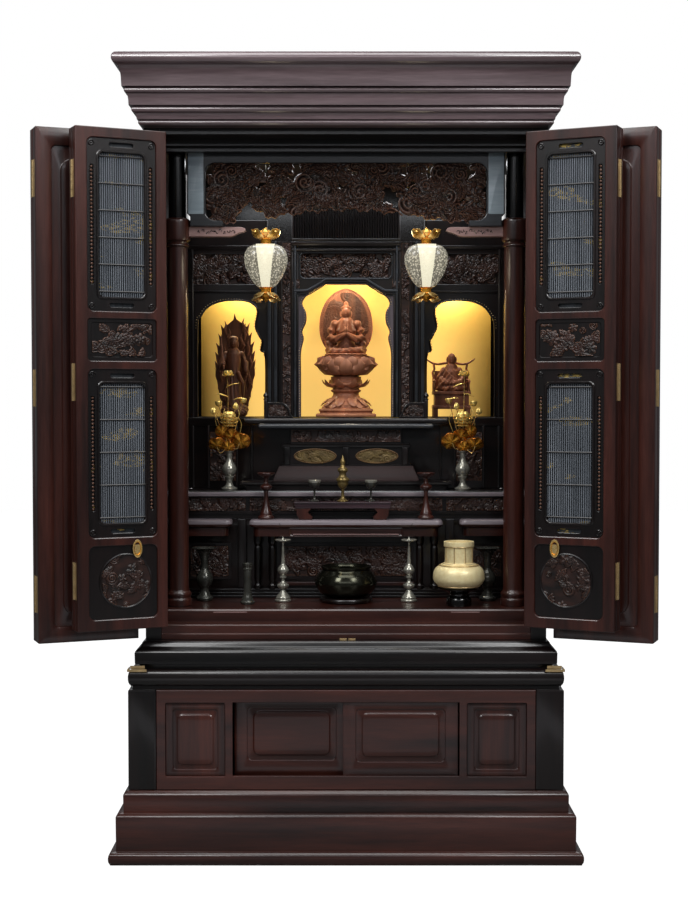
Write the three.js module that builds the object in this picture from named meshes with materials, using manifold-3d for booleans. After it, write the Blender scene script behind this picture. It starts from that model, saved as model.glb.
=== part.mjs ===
// Household altar cabinet: a floor-standing cabinet with folding doors in front of an altar room,
// with the altar, its figures, lanterns and implements, and a low cupboard with sliding doors below.
// Units are millimetres. +X is right, +Y runs from the front to the back, +Z is up.
// The origin is the middle of the underside, on the floor.
import * as THREE from 'three';
import { mergeVertices } from 'three/addons/utils/BufferGeometryUtils.js';
import Module from 'manifold-3d';

const wasm = await Module();
wasm.setup();

// ---- Driving dimensions ----

const gap = 0.3; // clearance between pieces that touch

const height = 1575;
const backY = 360;
const noseY = -360; // front of the base roll and of the cornice roll
const baseHalf = 464;
const corniceHalf = 450;

const lowerHalf = 428; // low cupboard
const lowerFront = -324;
const plinthTop = 140;
const lowerTop = 338;

const bodyHalf = 398; // upper body
const bodyFront = -280;
const bodyBottom = 431;
const bodyTop = 1441;
const wallThick = 26;
const roomHalf = bodyHalf - wallThick;
const floorZ = 484;
const ceilingZ = 1424;
const openingHalf = 367; // clear width between the jambs
const backWallY = 345;

const outerPin = { x: 405, y: bodyFront };
const outerStart = 7; // from the pin to the leaf's edge
const outerWidth = 198.2;
const outerThick = 27;
const outerBottom = 434;
const outerTop = 1432;
const outerOpen = 158; // degrees from closed

const innerPin = { x: 366, y: -279 };
const innerStart = 2;
const innerWidth = 180.8;
const innerThick = 22;
const innerBottom = 462;
const innerTop = 1427;
const innerOpen = 155;
const foldGap = 0.6; // between two leaves of a pair, open or folded

const slidingWidth = 227;
const slidingThick = 16;
const cupboardHalf = 223; // opening of the low cupboard
const cupboardLow = 168;
const cupboardHigh = 313;

const pillarX = 344.5;
const pillarY = -165;
const pillarRadius = 21;
const capitalRadius = 27;
const capitalLow = 1230;
const capitalHigh = 1277;

const platformZ = 868; // floor of the shrine
const tierZ = 712; // top of the upper altar step
const deskZ = 653; // top of the altar's front shelf
const shrineFrontY = 30;
const shrineHalf = 170;
const shrineTop = 1326;

const sides = [
  { name: 'left', sign: -1 },
  { name: 'right', sign: 1 },
];

// ---- Materials ----

const paint = (color, roughness, metalness = 0) =>
  new THREE.MeshStandardMaterial({ color, roughness, metalness });

const rosewood = paint(0x4a2622, 0.35);
const ebony = paint(0x17140f, 0.3);
const figureWood = paint(0x96593a, 0.55);
const goldLeaf = paint(0xd9b45a, 0.4, 0.9);
const brass = paint(0xc8a56e, 0.3, 1);
const darkMetal = paint(0x2a2a26, 0.25, 1);
const frosted = paint(0xfff2d0, 0.4);

// ---- Solid helpers ----

// Flips every triangle, for a mesh that came out inside out.
function flipped(geometry) {
  const index = geometry.index.array;
  for (let i = 0; i < index.length; i += 3) {
    [index[i], index[i + 1]] = [index[i + 1], index[i]];
  }
  return geometry;
}

function signedVolume(geometry) {
  const p = geometry.attributes.position;
  const index = geometry.index.array;
  const a = new THREE.Vector3();
  const b = new THREE.Vector3();
  const c = new THREE.Vector3();
  let sum = 0;
  for (let i = 0; i < index.length; i += 3) {
    a.fromBufferAttribute(p, index[i]);
    b.fromBufferAttribute(p, index[i + 1]);
    c.fromBufferAttribute(p, index[i + 2]);
    sum += a.dot(b.cross(c));
  }
  return sum;
}

// Turns a closed three.js geometry into a solid that can be joined and cut.
function solid(geometry) {
  const bare = geometry.clone();
  bare.deleteAttribute('normal');
  bare.deleteAttribute('uv');
  const merged = mergeVertices(bare, 1e-3);
  if (signedVolume(merged) < 0) flipped(merged);
  const mesh = new wasm.Mesh({
    numProp: 3,
    vertProperties: new Float32Array(merged.attributes.position.array),
    triVerts: new Uint32Array(merged.index.array),
  });
  return new wasm.Manifold(mesh);
}

function geometryOf(manifold) {
  const mesh = manifold.getMesh();
  const geometry = new THREE.BufferGeometry();
  geometry.setAttribute('position', new THREE.BufferAttribute(new Float32Array(mesh.vertProperties), 3));
  geometry.setIndex(new THREE.BufferAttribute(new Uint32Array(mesh.triVerts), 1));
  return geometry;
}

const join = (...solids) => solids.reduce((all, next) => all.add(next));
const cut = (body, ...tools) => tools.reduce((all, next) => all.subtract(next), body);

function box(x0, x1, y0, y1, z0, z1) {
  const geometry = new THREE.BoxGeometry(x1 - x0, y1 - y0, z1 - z0);
  return solid(geometry.translate((x0 + x1) / 2, (y0 + y1) / 2, (z0 + z1) / 2));
}

// A box between two distances from the middle, on one side of the cabinet.
function sideBox(sign, near, far, y0, y1, z0, z1) {
  return box(Math.min(sign * near, sign * far), Math.max(sign * near, sign * far), y0, y1, z0, z1);
}

const polygon = (points) => new THREE.Shape(points.map(([x, y]) => new THREE.Vector2(x, y)));

function roundedRect(x0, x1, z0, z1, radius) {
  const shape = new THREE.Shape();
  shape.moveTo(x0 + radius, z0);
  shape.absarc(x1 - radius, z0 + radius, radius, -Math.PI / 2, 0, false);
  shape.absarc(x1 - radius, z1 - radius, radius, 0, Math.PI / 2, false);
  shape.absarc(x0 + radius, z1 - radius, radius, Math.PI / 2, Math.PI, false);
  shape.absarc(x0 + radius, z0 + radius, radius, Math.PI, 1.5 * Math.PI, false);
  return shape;
}

const extruded = (shape, depth, curveSegments) =>
  new THREE.ExtrudeGeometry(shape, { depth, bevelEnabled: false, curveSegments });

// A (y, z) profile run along X.
function alongX(shape, x0, x1) {
  const turn = new THREE.Matrix4().set(0, 0, 1, x0, 1, 0, 0, 0, 0, 1, 0, 0, 0, 0, 0, 1);
  return solid(extruded(shape, x1 - x0, 1).applyMatrix4(turn));
}

// An (x, z) outline with its thickness from y0 to y1.
function alongY(shape, y0, y1, curveSegments = 1) {
  return solid(extruded(shape, y1 - y0, curveSegments).rotateX(Math.PI / 2).translate(0, y1, 0));
}

// A turned form: [radius, z] points from the axis back to the axis, or a closed ring.
function turned(points, x, y, z, segments = 7) {
  const profile = points.map(([r, h]) => new THREE.Vector2(r, h));
  return solid(new THREE.LatheGeometry(profile, segments).rotateX(Math.PI / 2).translate(x, y, z));
}

// A turned vessel: the outside is given from the foot up, the inside follows at the wall's thickness.
function vessel(outside, wall, innerFloor, x, y, z, segments = 7) {
  const inside = outside.filter(([, h]) => h > innerFloor + wall).reverse();
  const hollow = inside.map(([r, h]) => [Math.max(r - wall, 1), h]);
  const floorPoint = [Math.max(hollow[hollow.length - 1][0] - wall, 1), innerFloor];
  return turned([[0, 0], ...outside, ...hollow, floorPoint, [0, innerFloor]], x, y, z, segments);
}

function ellipsoid(rx, ry, rz, x, y, z, across = 6, rows = 4) {
  const geometry = new THREE.SphereGeometry(1, across, rows).rotateX(Math.PI / 2).scale(rx, ry, rz);
  return solid(geometry.translate(x, y, z));
}

// A round bar between two points.
function bar(from, to, r0, r1 = r0, segments = 5) {
  const a = new THREE.Vector3(...from);
  const b = new THREE.Vector3(...to);
  const geometry = new THREE.CylinderGeometry(r1, r0, a.distanceTo(b), segments);
  const direction = b.clone().sub(a).normalize();
  geometry.applyQuaternion(new THREE.Quaternion().setFromUnitVectors(new THREE.Vector3(0, 1, 0), direction));
  return solid(geometry.translate((a.x + b.x) / 2, (a.y + b.y) / 2, (a.z + b.z) / 2));
}

// A moulding carried round the front and both sides and flat at the back.
// Each level is [z, half width, y of the front], from the bottom up.
function mouldedBlock(levels, back) {
  const front = levels.map(([z, , y]) => [y, z]);
  const lowest = levels[0][0];
  const highest = levels[levels.length - 1][0];
  const frontProfile = polygon([...front, [back, highest], [back, lowest]]);
  const rightEdge = levels.map(([z, half]) => [half, z]);
  const leftEdge = levels.map(([z, half]) => [-half, z]).reverse();
  const reach = Math.max(...levels.map(([, half]) => half)) + 10;
  const deepest = Math.min(...levels.map(([, , y]) => y)) - 10;
  const outline = polygon([...rightEdge, ...leftEdge]);
  return alongX(frontProfile, -reach, reach).intersect(alongY(outline, deepest, back));
}

// A raised field with a sunk border, cut into a face whose outside is at y = face.
// side is 1 where the face looks towards -Y and -1 where it looks towards +Y.
function sunkBorder(outer, field, face, depth, side) {
  const y0 = side > 0 ? face - 1 : face - depth;
  const y1 = side > 0 ? face + depth : face + 1;
  return cut(alongY(outer, y0, y1), alongY(field, y0 - 1, y1 + 1));
}

function mirrored(geometry) {
  return flipped(geometry.clone().scale(-1, 1, 1));
}

const model = new THREE.Group();

function place(name, body, material, parent = model) {
  const geometry = body instanceof THREE.BufferGeometry ? body : geometryOf(body);
  const mesh = new THREE.Mesh(geometry, material);
  mesh.name = name;
  parent.add(mesh);
  return mesh;
}

// ---- Base and low cupboard ----

function makePlinth() {
  const levels = [
    [0, baseHalf - 4, noseY + 4],
    [5, baseHalf, noseY],
    [19, baseHalf, noseY],
    [24, baseHalf - 5, noseY + 5],
    [24, baseHalf - 13, noseY + 13],
    [92, baseHalf - 13, noseY + 13],
    [98, baseHalf - 18, noseY + 18],
    [98, baseHalf - 27, noseY + 27],
    [134, baseHalf - 27, noseY + 27],
    [plinthTop, baseHalf - 33, noseY + 33],
  ];
  place('plinth', mouldedBlock(levels, backY), rosewood);
}

function makeLowerCarcass() {
  const low = plinthTop + gap;
  const shell = box(-lowerHalf, lowerHalf, lowerFront, backY, low, lowerTop - gap);
  const inside = box(-lowerHalf + 18, lowerHalf - 18, lowerFront + 42, backWallY, 156, 322);
  const doorPocket = box(-236, 236, lowerFront + 8, lowerFront + 43, 156, 322);
  const face = [lowerFront - 1, lowerFront + 9];
  const opening = box(-cupboardHalf, cupboardHalf, ...face, cupboardLow, cupboardHigh);
  const panels = sides.map(({ sign }) => {
    const outer = [Math.min(sign * 238, sign * 355), Math.max(sign * 238, sign * 355)];
    const field = [Math.min(sign * 262, sign * 332), Math.max(sign * 262, sign * 332)];
    return sunkBorder(
      roundedRect(...outer, 167, 312, 6),
      roundedRect(...field, 189, 289, 9),
      lowerFront, 5, 1,
    );
  });
  place('lower_carcass', cut(shell, inside, doorPocket, opening, ...panels), rosewood);
}

function slidingDoor(x0, y0) {
  const x1 = x0 + slidingWidth;
  const leaf = box(x0, x1, y0, y0 + slidingThick, 156 + gap, 322 - gap);
  const outer = roundedRect(x0 + 20, x1 - 20, 196, 300, 10);
  const field = roundedRect(x0 + 33, x1 - 33, 209, 287, 10);
  return cut(leaf, sunkBorder(outer, field, y0, 4, 1));
}

function makeSlidingDoors() {
  const frontTrack = lowerFront + 8 + gap;
  const rearTrack = frontTrack + slidingThick + gap;
  place('sliding_door_left', slidingDoor(-cupboardHalf + 2, rearTrack), rosewood);
  place('sliding_door_right', slidingDoor(cupboardHalf - 2 - slidingWidth, frontTrack), rosewood);
}

function makeWaistMouldings() {
  const lower = [
    [lowerTop, 420, -316],
    [345, 420, -316],
    [345, 424, -320],
    [350, 428.5, -324.5],
    [372, 428.5, -324.5],
    [378, 423, -319],
    [378, 408, -306],
    [387 - gap, 408, -306],
  ];
  const upper = [
    [387, 416, -316],
    [410, 416, -316],
    [414, 413, -313],
    [421, 405, -306],
    [425, 403, -304],
    [bodyBottom, 400, -302],
  ];
  place('lower_moulding', mouldedBlock(lower, backY), ebony);
  place('upper_moulding', mouldedBlock(upper, backY), ebony);
}

// ---- Upper body ----

function makeFloor() {
  const low = bodyBottom + gap;
  const profile = polygon([
    [-279, low], [-279, 441], [-276, 443], [-276, 458], [-274, 460], [-227.5, 460],
    [-227.5, 481], [-225, floorZ], [backWallY - gap, floorZ], [backWallY - gap, 464],
    [-200, 464], [-200, low],
  ]);
  place('altar_floor', alongX(profile, -openingHalf + gap, openingHalf - gap), rosewood);
}

function makeSideWalls() {
  for (const { name, sign } of sides) {
    const wall = sideBox(sign, roomHalf, bodyHalf, bodyFront, backY, bodyBottom + gap, bodyTop - gap);
    const jamb = sideBox(sign, openingHalf, roomHalf + 1, bodyFront, -252, bodyBottom + gap, bodyTop - gap);
    const rail = sideBox(sign, openingHalf, roomHalf + 1, -252, backY - 16, bodyBottom + gap, 460);
    place(`side_wall_${name}`, join(wall, jamb, rail), ebony);
  }
}

function makeBackWall() {
  const half = openingHalf - gap;
  place('back_wall', box(-half, half, backWallY, backY, bodyBottom + gap, bodyTop - gap), rosewood);
}

function makeHeader() {
  const high = bodyTop - gap;
  const profile = polygon([
    [bodyFront, high], [bodyFront, 1429], [-228, 1429], [-228, 1415], [-212, 1415], [-212, 1406],
    [-190, 1406], [-190, ceilingZ], [backWallY - gap, ceilingZ], [backWallY - gap, high],
  ]);
  place('header_ceiling', alongX(profile, -openingHalf + gap, openingHalf - gap), ebony);
}

function makeCornice() {
  const overhang = 90; // how much further forward than sideways each member stands
  const at = (z, half) => [z, half, -(half - overhang)];
  const levels = [
    at(bodyTop, 398), at(1444, 402), at(1451, 402), at(1452, 408), at(1463, 414),
    at(1464, 409), at(1476, 414), at(1477, 424), at(1498, 429), at(1499, 423), at(1510, 427),
    at(1511, 433), at(1548, 439), at(1550, 444), at(1554, 449), at(1560, corniceHalf),
    at(1571, corniceHalf), at(height, 446),
  ];
  place('cornice', mouldedBlock(levels, backY), rosewood);
}

// ---- Doors ----

// Each leaf is drawn in the closed position for the left side, with the pin at the origin,
// the leaf running towards +X and its outside towards -Y.
function outerLeaf() {
  const leaf = box(0, outerWidth, -outerThick, 0, outerBottom, outerTop);
  const border = roundedRect(30, outerWidth - 30, 466, 1400, 8);
  const field = roundedRect(46, outerWidth - 46, 494, 1372, 20);
  const depth = 5;
  const inside = sunkBorder(border, field, 0, depth, -1);
  const outside = sunkBorder(border, field, -outerThick, depth, 1);
  return geometryOf(cut(leaf, inside, outside));
}

// Two reeded windows, a carved panel between them, and a round medallion with a pull below.
// The free leaf carries the pull; the leaf at the pin has the same layout the other way round.
function innerLeaf(withPull) {
  const outside = -innerThick;
  const recess = 4;
  const span = (u0, u1) => (withPull ? [u0, u1] : [innerWidth - u1, innerWidth - u0]);
  const [x0, x1] = span(23, 160);
  const windows = [[1077, 1407], [642, 966]];
  const glassInset = 20;
  let body = box(0, innerWidth, outside, 0, innerBottom, innerTop);
  for (const [z0, z1] of windows) {
    const opening = alongY(roundedRect(x0, x1, z0, z1, 14), outside - 1, outside + recess);
    const pane = [z0 + glassInset, z1 - glassInset];
    body = cut(body, opening,
      box(x0 + glassInset, x1 - glassInset, outside - 1, outside + 2 * recess, ...pane),
      box(x0 + glassInset, x1 - glassInset, -2 * recess, 1, ...pane));
  }
  const carvedBorder = cut(
    box(x0, x1, outside - 1, outside + recess, 982, 1063),
    box(x0 + 8, x1 - 8, outside - 2, outside + recess + 1, 990, 1055),
  );
  const foot = alongY(roundedRect(x0, x1, 484, 626, 10), outside - 1, outside + recess);
  const [discLeft, discRight] = span(46, 148);
  const radius = (discRight - discLeft) / 2;
  const medallion = new THREE.Shape().absarc(discLeft + radius, 557, radius, 0, 2 * Math.PI, false);
  body = join(cut(body, carvedBorder, foot), alongY(medallion, outside + 1, outside + recess + 1, 6));
  if (withPull) {
    body = body.add(alongY(roundedRect(...span(110, 129), 602, 637, 8), outside - 2, outside + recess + 1));
  }
  return geometryOf(body);
}

function makeDoorPair(kind, pin, start, width, openAngle, foldY, thickY, leafA, leafB) {
  const finish = kind === 'outer' ? rosewood : ebony;
  for (const { name, sign } of sides) {
    const shape = (geometry) => (sign < 0 ? geometry : mirrored(geometry));
    const swing = new THREE.Group();
    swing.position.set(sign * pin.x, pin.y, 0);
    swing.rotation.z = sign * THREE.MathUtils.degToRad(openAngle);
    model.add(swing);
    const first = place(`${kind}_leaf_${name}_a`, shape(leafA), finish, swing);
    first.position.set(-sign * start, thickY, 0);
    const fold = new THREE.Group();
    fold.position.set(-sign * (start + width + foldGap / 2), foldY, 0);
    fold.rotation.z = Math.PI;
    swing.add(fold);
    const second = place(`${kind}_leaf_${name}_b`, shape(leafB), finish, fold);
    second.position.set(-sign * (foldGap / 2), thickY - foldY, 0);
  }
}

function makeDoors() {
  // The outer pin lies on the leaf's inside face, and its pair folds with the outsides together.
  makeDoorPair('outer', outerPin, outerStart, outerWidth, outerOpen, -outerThick - gap - foldGap / 2, -gap,
    outerLeaf(), outerLeaf());
  // The inner pin lies on the leaf's outside face, and its pair folds with the insides together.
  const innerFace = innerThick + 1;
  makeDoorPair('inner', innerPin, innerStart, innerWidth, innerOpen, innerFace + foldGap / 2, innerFace,
    innerLeaf(false), innerLeaf(true));
}

// ---- Altar room: pillars and transom ----

function makePillars() {
  for (const { name, sign } of sides) {
    const x = sign * pillarX;
    const profile = [
      [0, floorZ + gap], [27, floorZ + gap], [27, 500], [pillarRadius, 522],
      [pillarRadius, capitalLow - 4], [capitalRadius, 1238], [capitalRadius, 1268],
      [pillarRadius, capitalHigh], [pillarRadius, ceilingZ - gap], [0, ceilingZ - gap],
    ];
    const post = turned(profile, x, pillarY, 0, 8);
    const bracket = alongY(polygon([
      [sign * 325, 1259], [sign * 204, 1259], [sign * 208, 1252], [sign * 231, 1239], [sign * 325, 1239],
    ]), pillarY - 10, pillarY + 10);
    place(`pillar_${name}`, join(post, bracket), rosewood);
  }
}

const transomFront = -186;
const transomBack = -166;

function transomOpening() {
  return roundedRect(-286, 286, 1271, 1387, 20);
}

function makeTransomFrame() {
  const outline = polygon([
    [-323, ceilingZ - gap], [-323, 1285], [-316.5, 1279], [-316.5, 1259 + gap], [316.5, 1259 + gap],
    [316.5, 1279], [323, 1285], [323, ceilingZ - gap],
  ]);
  const feet = box(-250, 250, -190, -160, 1258, 1290);
  const middle = alongY(transomOpening(), transomFront - 1, transomBack + 1, 3);
  place('transom_frame', cut(alongY(outline, transomFront, transomBack), middle, feet), ebony);
}

// Pierced carving: cloud lobes along an arched lower edge, and openings between the scrolls.
function makeTransomCarving() {
  const half = 283;
  const corner = 12;
  const low = 1284;
  const high = 1384;
  const lobes = 8;
  const arch = (x) => 1276 + 24 * Math.cos((Math.PI * x) / (2 * half)) ** 2;
  const shape = new THREE.Shape();
  shape.moveTo(-half, low + 16);
  shape.lineTo(-half + corner, low);
  const inner = half - corner;
  for (let i = 0; i < lobes; i += 1) {
    const middle = -inner + (2 * inner * (i + 0.5)) / lobes;
    const end = -inner + (2 * inner * (i + 1)) / lobes;
    shape.lineTo(middle, arch(middle) - 3);
    shape.lineTo(end, i === lobes - 1 ? low : arch(end) + 4);
  }
  shape.lineTo(half, low + 16);
  shape.lineTo(half, high - corner);
  shape.lineTo(inner, high);
  shape.lineTo(-inner, high);
  shape.lineTo(-half, high - corner);
  const back = -170;
  const front = -180;
  const pitch = 104; // between the scrolls
  const holes = [];
  const reliefs = [];
  for (let i = -2; i <= 2; i += 1) {
    const x = i * pitch;
    holes.push(box(x + 44, x + 60, front - 2, back + 2, 1346, 1362));
    reliefs.push(ellipsoid(40, 9, 18, x, front, 1328 + 6 * (i % 2), 5, 3));
  }
  place('transom_carving', cut(join(alongY(shape, front, back), ...reliefs), ...holes), ebony);
}

// ---- Shrine ----

// Half of an arched opening's edge, from the floor up to the middle.
const archEdge = [
  [98, platformZ - 1], [98, 1026], [91, 1040], [93, 1058], [86, 1074], [88, 1100], [96, 1120],
  [74, 1141], [44, 1159],
];

// The stepped moulding over the arch, half of it, round from its outer end.
const archMoulding = [[45, 1155], [76, 1137], [110, 1131], [110, 1141], [78, 1150], [48, 1168]];

const bothHalves = (half) => polygon([...half, ...half.map(([x, z]) => [-x, z]).reverse()]);

function makeShrineFront() {
  const y0 = shrineFrontY;
  const back = y0 + 26;
  const proud = 8; // of the reeded screen and the cap
  const board = box(-shrineHalf, shrineHalf, y0, back, platformZ + gap, 1256);
  const screen = box(-118, 118, y0 - proud, back, 1255, shrineTop);
  const opening = alongY(bothHalves(archEdge), y0 - 20, back + 10);
  const arch = alongY(bothHalves(archMoulding), y0 - 7, y0 + 1);
  const panel = alongY(roundedRect(-98, 98, 1172, 1224, 8), y0 - 1, y0 + 6);
  const ribs = [];
  for (const { sign } of sides) {
    for (const [near, far] of [[106, 120], [138, 156], [163, 170]]) {
      ribs.push(sideBox(sign, near, far, y0 - 5, y0 + 1, platformZ + gap, 1250));
    }
  }
  const cap = box(-shrineHalf, shrineHalf, y0 - proud, back, 1240, 1256);
  place('shrine_front', join(cut(join(board, screen), opening, panel), arch, cap, ...ribs), ebony);
}

// One side niche: a board with an arched opening and a cloud-shaped edge towards the middle.
function makeNicheFrames() {
  const y0 = shrineFrontY + 30;
  for (const { name, sign } of sides) {
    const board = sideBox(sign, shrineHalf + gap, roomHalf - gap, y0, y0 + 18, platformZ + gap, 1300);
    const edge = [
      [326, platformZ - 1], [326, 1062], [300, 1112], [268, 1124], [222, 1124], [198, 1112],
      [192, 1096], [197, 1064], [182, 1034], [184, 1012], [176, 1000], [176, platformZ - 1],
    ];
    const opening = alongY(polygon(edge.map(([x, z]) => [sign * x, z])), y0 - 5, y0 + 25);
    const panelX = [Math.min(sign * 190, sign * 340), Math.max(sign * 190, sign * 340)];
    const panel = alongY(roundedRect(...panelX, 1160, 1226, 8), y0 - 1, y0 + 5);
    place(`niche_frame_${name}`, cut(board, opening, panel), ebony);
  }
}

function makeGoldBoard() {
  place('gold_board', box(-335, 335, 250, 256, platformZ + gap, 1200), goldLeaf);
}

function makePlatform() {
  const whole = box(-roomHalf + gap, roomHalf - gap, 56, 344, 850, platformZ);
  const riser = box(-roomHalf + gap, roomHalf - gap, 62, 74, tierZ + gap, 851);
  const upperNose = mouldedBlock([[855, 219, 15], [858, 222, 12], [865, 222, 12], [platformZ, 219, 15]], 60);
  const lowerNose = mouldedBlock([[844, 187, 5], [846, 190, 2], [852, 190, 2], [856, 187, 5]], 60);
  const fences = sides.map(({ sign }) => {
    const quarter = polygon([
      [sign * 172, platformZ - 1], [sign * 172, 902], [sign * 138, 902], [sign * 126, 893],
      [sign * 120, 880], [sign * 114, platformZ - 1],
    ]);
    return alongY(quarter, 17, 23);
  });
  place('shrine_platform', join(whole, riser, upperNose, lowerNose, ...fences), ebony);
}

// ---- Altar steps ----

function makePedestal() {
  const back = 60;
  const levels = [
    [tierZ + gap, 216, -4], [723, 220, -5], [724, 228, -10], [731, 228, -10], [733, 225, -7],
    [734, 158, 3], [763, 146, 12], [764, 143, 12], [766, 135, 16], [804, 135, 16],
    [806, 139, 10], [811, 139, 10], [812, 122, 26], [844 - gap, 122, 26],
  ];
  const block = mouldedBlock(levels, back);
  const cartouches = [-67, 67].map((x) => {
    const oval = new THREE.Shape().absellipse(x, 785, 44, 14, 0, 2 * Math.PI, false);
    return cut(box(x - 58, x + 58, 14, 21, 768, 802), alongY(oval, 13, 22, 6));
  });
  place('altar_pedestal', cut(block, ...cartouches), ebony);
}

function makeTier() {
  const half = roomHalf - gap;
  const low = deskZ + gap;
  const profile = polygon([
    [-28, low], [-28, 662], [-33, 663], [-33, 667], [-24, 668], [-24, 698], [-32, 699], [-36, 702],
    [-36, 708], [-32, tierZ], [62, tierZ], [62, 698], [-4, 698], [-4, low],
  ]);
  place('altar_tier', alongX(profile, -half, half), ebony);
}

// The lowest step: a stepped foot, a carved front, a shelf across the middle on two posts and a
// shelf at each side.
function makeAltarBase() {
  const half = roomHalf - gap;
  const low = floorZ + gap;
  const profile = polygon([
    [-48, low], [-48, 490], [-44, 490.5], [-44, 496], [-40, 496.5], [-40, 503], [-25, 503],
    [-25, deskZ], [62, deskZ], [62, 638], [-8, 638], [-8, low],
  ]);
  const pieces = [alongX(profile, -half, half)];
  const nose = (x0, x1, front) => alongX(polygon([
    [front + 8, 618], [front + 8, 636], [front + 3, 638], [front, 642], [front, 649], [front + 4, deskZ],
    [-20, deskZ], [-20, 618],
  ]), x0, x1);
  pieces.push(nose(-204, 204, -80));
  for (const { sign } of sides) {
    pieces.push(nose(Math.min(sign * 242, sign * half), Math.max(sign * 242, sign * half), -70));
    pieces.push(sideBox(sign, 152, 194, -40, -20, 503, 620));
    pieces.push(sideBox(sign, 214, 232, -34, -20, 503, deskZ));
  }
  const apron = box(-118, 118, -75, -70, 616, 637);
  const panelY = -25;
  const borders = [
    cut(box(-146, 146, panelY - 1, panelY + 4, 522, 600), box(-110, 110, panelY - 2, panelY + 5, 534, 590)),
  ];
  for (const { sign } of sides) {
    borders.push(cut(
      sideBox(sign, 246, 340, panelY - 1, panelY + 4, 522, 600),
      sideBox(sign, 258, 328, panelY - 2, panelY + 5, 534, 588),
    ));
  }
  place('altar_base', cut(join(...pieces), apron, ...borders), ebony);
}

// ---- Figures ----

const statueY = 130;

function makeLotusPedestal() {
  const base = [
    [0, 0], [77, 0], [77, 8], [56, 26], [38, 44], [32, 56],
    [40, 74], [55, 90], [34, 92], [44, 96], [61, 124], [52, 138], [0, 138],
  ];
  place('lotus_pedestal', turned(base, 0, statueY, platformZ + gap, 10), figureWood);
}

function makeBuddha() {
  const z = platformZ + 138 + 2 * gap;
  const y = statueY;
  const legs = cut(ellipsoid(43, 34, 18, 0, y - 4, z + 12, 8, 4), box(-60, 60, y - 60, y + 60, z - 30, z));
  const torso = turned([
    [0, 8], [30, 8], [30, 26], [27, 44], [29, 60], [26, 72], [12, 84], [0, 84],
  ], 0, y, z);
  const arms = [-1, 1].map((s) => join(
    bar([s * 25, y, z + 68], [s * 33, y - 8, z + 36], 9, 8, 4),
    bar([s * 34, y - 8, z + 38], [s * 5, y - 27, z + 46], 9, 6, 4),
  ));
  const hands = ellipsoid(7, 5, 10, 0, y - 28, z + 50, 5, 3);
  const head = ellipsoid(13, 14, 17, 0, y - 4, z + 98);
  const crown = ellipsoid(7, 7, 7, 0, y - 2, z + 115, 5, 3);
  place('buddha', join(legs, torso, ...arms, hands, head, crown), figureWood);
}

// A leaf-shaped halo behind the seated figure, standing on the lotus seat's back.
function makeMandorla() {
  const z = platformZ + 138 + 2 * gap;
  const shape = new THREE.Shape();
  shape.moveTo(-24, z);
  shape.bezierCurveTo(-78, z + 50, -70, z + 112, 0, z + 150);
  shape.bezierCurveTo(70, z + 112, 78, z + 50, 24, z);
  const y = statueY + 36;
  place('mandorla', alongY(shape, y, y + 5, 6), figureWood);
}

const guardX = -252;
const guardY = 140;

function makeGuardian() {
  const z = platformZ + gap;
  const base = turned([[0, 0], [40, 0], [37, 12], [22, 30], [0, 30]], guardX, guardY, z);
  const robe = turned([[0, 28], [20, 28], [17, 60], [15, 90], [20, 118], [19, 140], [9, 152], [0, 154]],
    guardX, guardY, z);
  const arms = [
    bar([guardX - 17, guardY, z + 140], [guardX - 27, guardY - 14, z + 104], 7, 6),
    bar([guardX - 27, guardY - 14, z + 104], [guardX - 20, guardY - 26, z + 122], 6, 5),
    bar([guardX + 17, guardY, z + 140], [guardX + 28, guardY - 10, z + 100], 7, 6),
  ];
  const sword = bar([guardX - 20, guardY - 26, z + 112], [guardX - 26, guardY - 30, z + 186], 3, 2);
  const head = ellipsoid(12, 12, 15, guardX, guardY - 3, z + 166);
  const hair = ellipsoid(13, 12, 9, guardX, guardY + 1, z + 178, 5, 3);
  place('guardian', join(base, robe, ...arms, sword, head, hair), figureWood);
}

// Flames behind the standing figure: a body with tongues that rise along both edges.
function makeFlameHalo() {
  const z = platformZ + gap;
  const tongues = 6;
  const right = [];
  for (let i = 0; i < tongues; i += 1) {
    const t = i / tongues;
    const h = 40 + 165 * t;
    const w = 16 + 27 * Math.sin(Math.PI * (0.15 + 0.75 * t));
    right.push([w, h], [w + 4, h + 22], [w - 6, h + 19]);
  }
  const left = right.map(([x, h]) => [-x, h]).reverse();
  const outline = [[12, 0], ...right, [4, 222], [0, 236], [-4, 222], ...left, [-12, 0]];
  const shape = polygon(outline.map(([x, h]) => [guardX + x, z + h]));
  place('flame_halo', alongY(shape, guardY + 44, guardY + 50), figureWood);
}

const monkX = 236;
const monkY = 140;

function makeMonkChair() {
  const z = platformZ + gap;
  const x = monkX;
  const y = monkY;
  const seat = box(x - 42, x + 42, y - 34, y + 30, z + 26, z + 58);
  const feet = [-1, 1].flatMap((s) => [-1, 1].map((t) =>
    box(x + s * 36 - 5, x + s * 36 + 5, y + t * 26 - 7, y + t * 26 + 3, z, z + 27)));
  const back = box(x - 38, x + 38, y + 24, y + 30, z + 57, z + 104);
  const posts = [-1, 1].map((s) => box(x + s * 38 - 3, x + s * 38 + 3, y + 23, y + 30, z + 57, z + 120));
  const rails = [-1, 1].map((s) => join(
    box(x + s * 39 - 3, x + s * 39 + 3, y - 34, y - 28, z + 57, z + 84),
    box(x + s * 39 - 3, x + s * 39 + 3, y - 34, y + 26, z + 80, z + 86),
  ));
  const yoke = alongY(polygon([
    [x - 56, z + 133], [x - 53, z + 135], [x - 38, z + 123], [x + 38, z + 123], [x + 53, z + 135],
    [x + 56, z + 133], [x + 40, z + 117], [x - 40, z + 117],
  ]), y + 23, y + 30);
  place('monk_chair', join(seat, back, yoke, ...feet, ...posts, ...rails), figureWood);
}

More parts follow.
